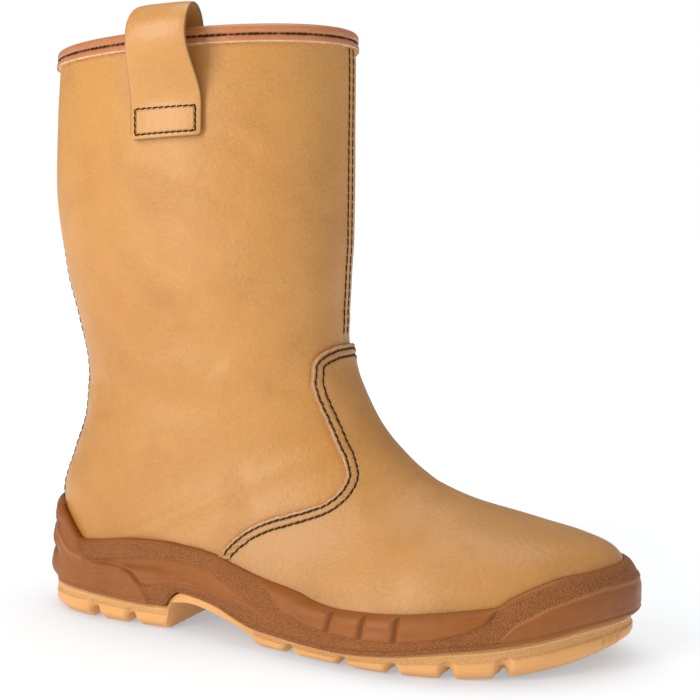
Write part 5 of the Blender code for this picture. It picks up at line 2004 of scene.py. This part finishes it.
    def fields(self, z: Array, base: Array, top: Array) -> tuple[Array, Array, Array]:
        """The wall's relief, its painted light and shade, and where it is pebbled.

        Args:
            z: heights on the wall.
            base: its lower line.
            top: its upper line.

        Returns:
            How far each spot stands out, its painted light from painted shade at -1 in creases to a
            painted highlight at 1 on ridges, and the share of pebbled grain.
        """
        x = np.broadcast_to(self.x, z.shape)
        flat = np.full_like(x, -1.0)
        heel_high = np.where(x < 0.029, top + 0.01, band(HEEL_UP, x))
        heel = region(x, z, -0.01, 0.0785, flat, heel_high, 0.0016)
        panel = region(x, z, 0.044, 0.153, band(PANEL_LOW, x), band(PANEL_UP, x), 0.0016)
        pad = region(x, z, 0.1445, 0.2545, band(PAD_LOW, x), top - 0.0006 + 0 * x, 0.0018)
        toe = region(x, z, 0.256, 0.31, flat, band(TOE_LINE, x), 0.0012)
        groove = np.zeros_like(x)
        for (x1, z1), (x0, z0) in PAD_CUTS:
            middle = (x0 + (x1 - x0) * (z * 1000 - z0) / (z1 - z0)) / 1000
            groove = np.maximum(groove, crest(x - middle, self.cut_width))
        groove *= pad
        dish = pad * (1 - crest(z - (band(PAD_LOW, x) + top) / 2, 0.006))
        back = ease((0.024 - x) / 0.010)
        knuckle = np.zeros_like(x)
        for low, high in zip(KNUCKLES[:-1], KNUCKLES[1:]):
            rise = np.clip((z * 1000 - low) / (high - low), 0, 1)
            knuckle = np.maximum(knuckle, np.sin(np.pi * rise) ** 0.6)
        knuckle = (knuckle - 0.75) * back
        strap = crest(z - band(STRAP_LINE, x), 0.0016) * ease((x - 0.006) / 0.004)
        strap *= ease((0.043 - x) / 0.004)
        ridge = crest(z - band(TOE_LINE, x), 0.00075) * ease((x - 0.255) / 0.002)
        low_line = crest(z - band(PANEL_LOW, x), 0.0007) * ease((x - 0.078) / 0.002)
        low_line *= ease((0.150 - x) / 0.004)
        rim = ease((z - top + self.rim_height) / 0.0006)
        foot = crest(z - base - self.foot_height, 0.0006)
        lines = ridge + 0.8 * low_line
        forms = (heel, -panel, pad, -dish, -groove, toe, knuckle, strap, lines, rim, -foot)
        stand = sum(depth * form for depth, form in zip(self.relief, forms))
        # Painted shade in the cuts, the foot line, the knuckles' troughs and the fields' borders; painted
        # highlights on the raised lines, the rim and the strap
        border = 4 * (0.5 * heel * (1 - heel) + pad * (1 - pad) + 0.8 * panel * (1 - panel))
        dark = 0.9 * groove + 0.5 * foot + 0.7 * np.clip(-knuckle * 4, 0, 1) * back + 0.35 * border
        relief = np.clip(lines * 0.9 + 0.12 * rim + 0.5 * strap - dark, -1, 1)
        smooth_part = np.clip(heel * (1 - back) * 0.75 + panel + pad + toe * 0.8 + rim + strap, 0, 1)
        return stand, relief, np.clip(1 - smooth_part, 0, 1)

    def outsole(self) -> Any:
        """Make the pale tread layer with its heel block, waist, lugs and grooves.

        Returns:
            The piece.
        """
        x = self.x
        top = height(LAYER_LINE, x)
        share = x / SOLE_LENGTH
        waist = ease((x - BREAST + 0.001) / 0.002) * ease((FOREFOOT_START * SOLE_LENGTH + 0.001 - x) / 0.002)
        low = spring(x) * (1 - waist) + height(ARCH_LINE, x) * waist
        cut, notch = np.zeros_like(x), np.zeros_like(x)
        for groove in HEEL_GROOVES + FOREFOOT_GROOVES:
            gap = np.abs(x - groove * SOLE_LENGTH)
            cut = np.maximum(cut, ease((GROOVE_WIDTH / 2 + 0.0028 - gap) / 0.0036))
            notch = np.maximum(notch, ease((GROOVE_WIDTH / 2 + 0.0021 - gap) / 0.0034))
        around = run_length(self.ring)
        around = around[self.count - 1] - around
        lug = 1 - waist
        forefoot = ease((share - FOREFOOT_START) / 0.02)
        crown = 0.60 + 0.06 * (1 - forefoot)
        depth = np.maximum(top - low, 0.001)
        rows, pebble, relief = [], [], []
        for rise in TREAD_LEVELS:
            lower = ease((crown - rise) / 0.07)
            slits = sum(self.slit_share * crest(around - place + self.slit_slant * rise, self.slit_width)
                        for place in TOE_CUTS)
            round_off = ease(1 - rise / 0.38) ** 1.7
            bulge = lug * lower * (self.tread_round[0] - self.tread_round[1] * round_off)
            upper_line = crest(rise - 0.84, 0.030)
            stand = (bulge - self.tread_inset - self.groove_sink * np.maximum(cut, slits) * lug * lower
                     + self.tread_line * upper_line - self.tread_top * ease((rise - 0.93) / 0.07))
            z = low + depth * rise + GROOVE_DEPTH * notch * lug * np.clip(0.7 - rise, 0, 1) / 0.7
            rows.append(np.column_stack([self.ring + self.out * stand[:, None], z]))
            rough = np.clip((1 - lower) * (1 - upper_line) + cut * lower, 0, 1) * lug + 0.3 * waist
            pebble.append(rough if rise > 0.04 else 0.3 * rough)
            # Painted highlight on the raised line; painted shade at the lugs' edges, in the grooves and
            # along the top under the midsole
            edge = 4 * lower * (1 - lower) * lug
            relief.append(np.clip(0.7 * upper_line - 0.45 * edge - 0.25 * cut * lower * lug
                                  - 0.8 * ease((rise - 0.95) / 0.05) + 0 * x, -1, 1))
        count, half, cols = len(x), self.count, self.tread_cols
        mates = np.array([0] + [count - k for k in range(1, half - 1)] + [half - 1])
        first, second = rows[-1][:half], rows[-1][mates]
        tread = []
        for share_across in np.linspace(0, 1, cols + 2)[1:-1]:
            spots = first * (1 - share_across) + second * share_across
            wave = self.tread_wave * np.abs(np.sin(share_across * math.pi * 9)) ** 4
            spots[:, 2] += wave * (1 - waist[:half])
            tread.append(spots)
        points = np.concatenate(rows + tread)
        index = np.arange(len(rows) * count).reshape(-1, count)
        faces = quads(np.concatenate([index, index[:, :1]], axis=1))
        below = np.arange(cols * half).reshape(cols, half) + len(rows) * count
        bottom = np.concatenate([index[-1][None, :half], below, index[-1][mates][None]])
        faces += quads(bottom)
        faces += quads(np.stack([index[0][:half], index[0][mates]]))
        extra = np.zeros(cols * half)
        values = {"pebble": np.concatenate([*pebble, extra + 0.5]),
                  "relief": np.concatenate([*relief, extra])}
        return add_piece("outsole_tread", points, faces, [Finish.OUTSOLE],
                         ["outsole"], values)


# Light and camera

Lamp = namedtuple("Lamp", "name place size power tint")


@dataclass(frozen=True)
class Studio:
    """The photo's viewpoint, a pale floor and soft lights. Angles are in degrees."""

    target: Triple = (0.1107, 0.0, 0.1359)
    turn: float = 23.99
    rise: float = 5.21
    away: float = 0.6582
    lens: float = 71.44
    sensor: float = 36.0
    roll: float = 0.52
    clip: tuple[float, float] = (0.01, 30.0)
    aim: Triple = (0.09, 0.0, 0.12)
    lamps: tuple[Lamp, ...] = (
        Lamp("key", (-0.42, -1.35, 0.62), (0.56, 1.6), 17.2, (1.0, 0.985, 0.96)),
        Lamp("side", (1.35, -0.45, 0.55), (0.35, 1.2), 0.9, (0.88, 0.94, 1.0)),
        Lamp("top", (0.05, 0.15, 1.5), (1.0, 1.0), 7.0, (1.0, 1.0, 1.0)))
    sky: Triple = (0.93, 0.965, 1.0)
    sky_power: float = 0.31
    white: Triple = (1.0, 1.0, 1.0)
    floor_size: float = 14.0
    floor_cells: int = 8
    floor_drop: float = 0.0002
    floor_tones: tuple[Triple, Triple] = ((0.90, 0.91, 0.93), (0.93, 0.94, 0.95))
    floor_middle: Triple = (0.11, 0.0, 0.0)
    # The floor partly glows; the first glow tone is its painted contact shadow, which darkens the glow
    # within the contact distance of the boot
    glow_tones: tuple[Triple, Triple] = ((0.42, 0.50, 0.57), (0.985, 0.993, 1.0))
    glow_power: float = 1.36
    glow_near: float = 0.50
    glow_more: float = 0.28
    contact: float = 0.06

    def camera(self) -> None:
        """Place the camera."""
        a, e = math.radians(self.turn), math.radians(self.rise)
        back = Vector((math.sin(a) * math.cos(e), -math.cos(a) * math.cos(e), math.sin(e)))
        level = Vector((math.cos(a), math.sin(a), 0))
        over = back.cross(level)
        roll = math.radians(self.roll)
        right = level * math.cos(roll) + over * math.sin(roll)
        up = back.cross(right)
        data = bpy.data.cameras.new("camera")
        data.lens, data.sensor_width = self.lens, self.sensor
        data.clip_start, data.clip_end = self.clip
        camera = bpy.data.objects.new("camera", data)
        turn = Matrix((right, up, back)).transposed().to_4x4()
        camera.matrix_world = Matrix.Translation(Vector(self.target) + back * self.away) @ turn
        bpy.context.scene.collection.objects.link(camera)
        bpy.context.scene.camera = camera

    def lamp(self, kind: Lamp) -> None:
        """Add one soft light that faces the boot.

        Args:
            kind: its name, place, size, power and tint.
        """
        data = bpy.data.lights.new(kind.name, "AREA")
        data.shape, data.size, data.size_y = "RECTANGLE", *kind.size
        data.energy, data.color = kind.power, kind.tint
        lamp = bpy.data.objects.new(kind.name, data)
        lamp.location = kind.place
        aim = Vector(self.aim) - Vector(kind.place)
        lamp.rotation_euler = aim.to_track_quat("-Z", "Y").to_euler()
        bpy.context.scene.collection.objects.link(lamp)

    def floor(self) -> None:
        """Add the floor, part plain and part glowing and fading to white far away, with a painted contact
        shadow that darkens its glow near the boot.
        """
        mesh = bpy.data.meshes.new("floor")
        shape = bmesh.new()
        bmesh.ops.create_grid(shape, x_segments=self.floor_cells, y_segments=self.floor_cells,
                              size=self.floor_size)
        shape.to_mesh(mesh)
        shape.free()
        floor = bpy.data.objects.new("floor", mesh)
        floor.location = (0, 0, -self.floor_drop)
        bpy.context.scene.collection.objects.link(floor)
        t = Tree.named("floor")
        middle = t.add("ShaderNodeVectorMath", {"operation": "SUBTRACT"},
                       {0: t.place(), 1: self.floor_middle})
        gap = t.add("ShaderNodeVectorMath", {"operation": "LENGTH"}, {0: middle}, "Value")
        t.finish(base_color=t.mix(*self.floor_tones, t.noise(40.0, 3.0, 0.5)), roughness=0.7)
        # Painted contact shadow: the glow is darkened where the boot hides the floor
        hidden = t.add("ShaderNodeAmbientOcclusion", {"samples": 6}, {"Distance": self.contact}, "AO")
        glow = t.add("ShaderNodeEmission", {}, {"Color": t.mix(*self.glow_tones, hidden.step(0.0, 0.95)),
                                                "Strength": self.glow_power})
        share = gap.step(0.15, 0.60) * self.glow_more + self.glow_near
        mixed = t.add("ShaderNodeMixShader", {}, {0: share, 1: t.given("Principled BSDF"), 2: glow})
        t.feed(t.nodes["Material Output"].inputs["Surface"], mixed)
        mesh.materials.append(t.owner)

    def world(self) -> None:
        """Light everything from all round with a pale sky, behind which the camera sees white."""
        world = bpy.data.worlds.new("studio")
        t = Tree(world)
        sky = t.add("ShaderNodeBackground", {}, {"Color": self.sky, "Strength": self.sky_power})
        paper = t.add("ShaderNodeBackground", {}, {"Color": self.white})
        seen = t.add("ShaderNodeLightPath", {}, {}, "Is Camera Ray")
        mixed = t.add("ShaderNodeMixShader", {}, {0: seen, 1: sky, 2: paper})
        t.feed(t.nodes["World Output"].inputs["Surface"], mixed)
        bpy.context.scene.world = world

    def build(self) -> None:
        """Set up the whole studio."""
        self.world()
        self.floor()
        for kind in self.lamps:
            self.lamp(kind)
        self.camera()
        bpy.context.scene.view_settings.view_transform = "Standard"


# The main creases: side, line in side view in millimetres, half width and depth in metres
CREASES = (
    Crease(-1, ((96, 150), (104, 141), (112, 134), (121, 130)), 0.0065, -0.0013),
    Crease(-1, ((60, 118), (76, 112), (94, 110), (112, 112)), 0.0090, -0.0012),
    Crease(-1, ((58, 132), (80, 126), (100, 124)), 0.0080, 0.0009),
    Crease(-1, ((30, 112), (40, 118), (52, 121)), 0.0060, -0.0010),
    Crease(-1, ((34, 100), (48, 98), (64, 97)), 0.0070, 0.0006),
    Crease(-1, ((136, 122), (148, 118), (158, 117)), 0.0045, -0.0008),
    Crease(-1, ((120, 236), (134, 228), (146, 219)), 0.0040, -0.0004),
    Crease(-1, ((108, 214), (122, 205), (138, 198)), 0.0035, -0.0004),
    Crease(-1, ((150, 212), (156, 205), (160, 196)), 0.0028, -0.0004),
    Crease(-1, ((196, 78), (206, 66), (214, 52)), 0.0060, -0.0008),
    Crease(-1, ((212, 72), (222, 60), (228, 46)), 0.0050, -0.0006),
    Crease(-1, ((178, 70), (188, 60), (196, 48)), 0.0060, 0.0005),
    Crease(-1, ((222, 50), (236, 44), (250, 41)), 0.0050, -0.0006),
    Crease(1, ((60, 118), (78, 112), (98, 112)), 0.0085, -0.0012),
    Crease(1, ((96, 146), (108, 138), (120, 132)), 0.0070, -0.0010),
    Crease(1, ((34, 104), (46, 102), (62, 100)), 0.0070, 0.0006),
    Crease(1, ((198, 74), (208, 62), (216, 50)), 0.0060, -0.0008),
    Crease(1, ((132, 120), (146, 118), (158, 118)), 0.0050, -0.0008),
)


SEAM_ABOVE, SEAM_SEARCH = 0.004, 0.01


def raised(skin: Skin, lift: Array, lines: Sequence[tuple[Array, Array]]) -> list[tuple[Array, Array]]:
    """Carry seam lines from the plain skin onto the lifted one.

    Args:
        skin: the upper's skin.
        lift: how far it is lifted.
        lines: the seam lines.

    Returns:
        The carried lines.
    """
    tree = BVHTree.FromPolygons((skin.points + skin.normals * lift[..., None]).reshape(-1, 3).tolist(),
                                quads(skin.index(np.arange(skin.rows), 0)))
    moved = []
    for line, ways in lines:
        spots = []
        for p, n in zip(line, ways):
            hit = tree.ray_cast(Vector(p + n * SEAM_ABOVE), Vector(-n), SEAM_SEARCH)[0]
            spots.append(p if hit is None else np.array(hit))
        moved.append((np.array(spots), ways))
    return moved


def write_size() -> None:
    """Update the scene's view layer."""
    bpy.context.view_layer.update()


def main() -> None:
    """Dress the boot and set up the studio."""
    logging.basicConfig(level=logging.INFO, format="%(name)s: %(message)s")
    last = Last()
    skin = Skin(last)
    leg = Leg()
    lift = leg.lift(skin)
    leg.build(skin, lift)
    vamp = Vamp(skin, lift)
    vamp.build()
    vamp.frayed()
    binding = Binding()
    binding.build(last)
    binding.frayed(last)
    loops = [PullLoop(last, "lateral", LOOP_PLACE), PullLoop(last, "medial", 1 - LOOP_PLACE)]
    for loop in loops:
        loop.build()
    Lining().build(skin)
    thread = Stitching(pitch=0.0033, length=0.0037, radius=0.00038)
    fine = Stitching(pitch=0.0028, length=0.0031, radius=0.00036)
    long = Stitching(pitch=0.0042, length=0.0046, radius=0.00036)
    rows = (("vamp_stitches", thread, vamp.seam_lines(), "vamp_leather"),
            ("seam_stitches", long, raised(skin, lift, leg.seam_lines(skin)), "upper_leather"),
            ("binding_stitches", fine, binding.seam_lines(last), "binding_leather"),
            ("loop_stitches", fine, [line for loop in loops for line in loop.seam_lines()], "loop_leather"))
    for name, kind, lines, slot in rows:
        points, faces = kind.rows(lines)
        add_piece(name, points, faces, [Finish.THREAD], closed=False)
    sole = Sole(skin)
    sole.midsole()
    sole.outsole()
    board = bpy.data.objects["insole"]
    board.data.materials.clear()
    board.data.materials.append(Finish.BOARD.material())
    Studio().build()
    bpy.context.view_layer.update()
    write_size()


if __name__ == "__main__":
    main()
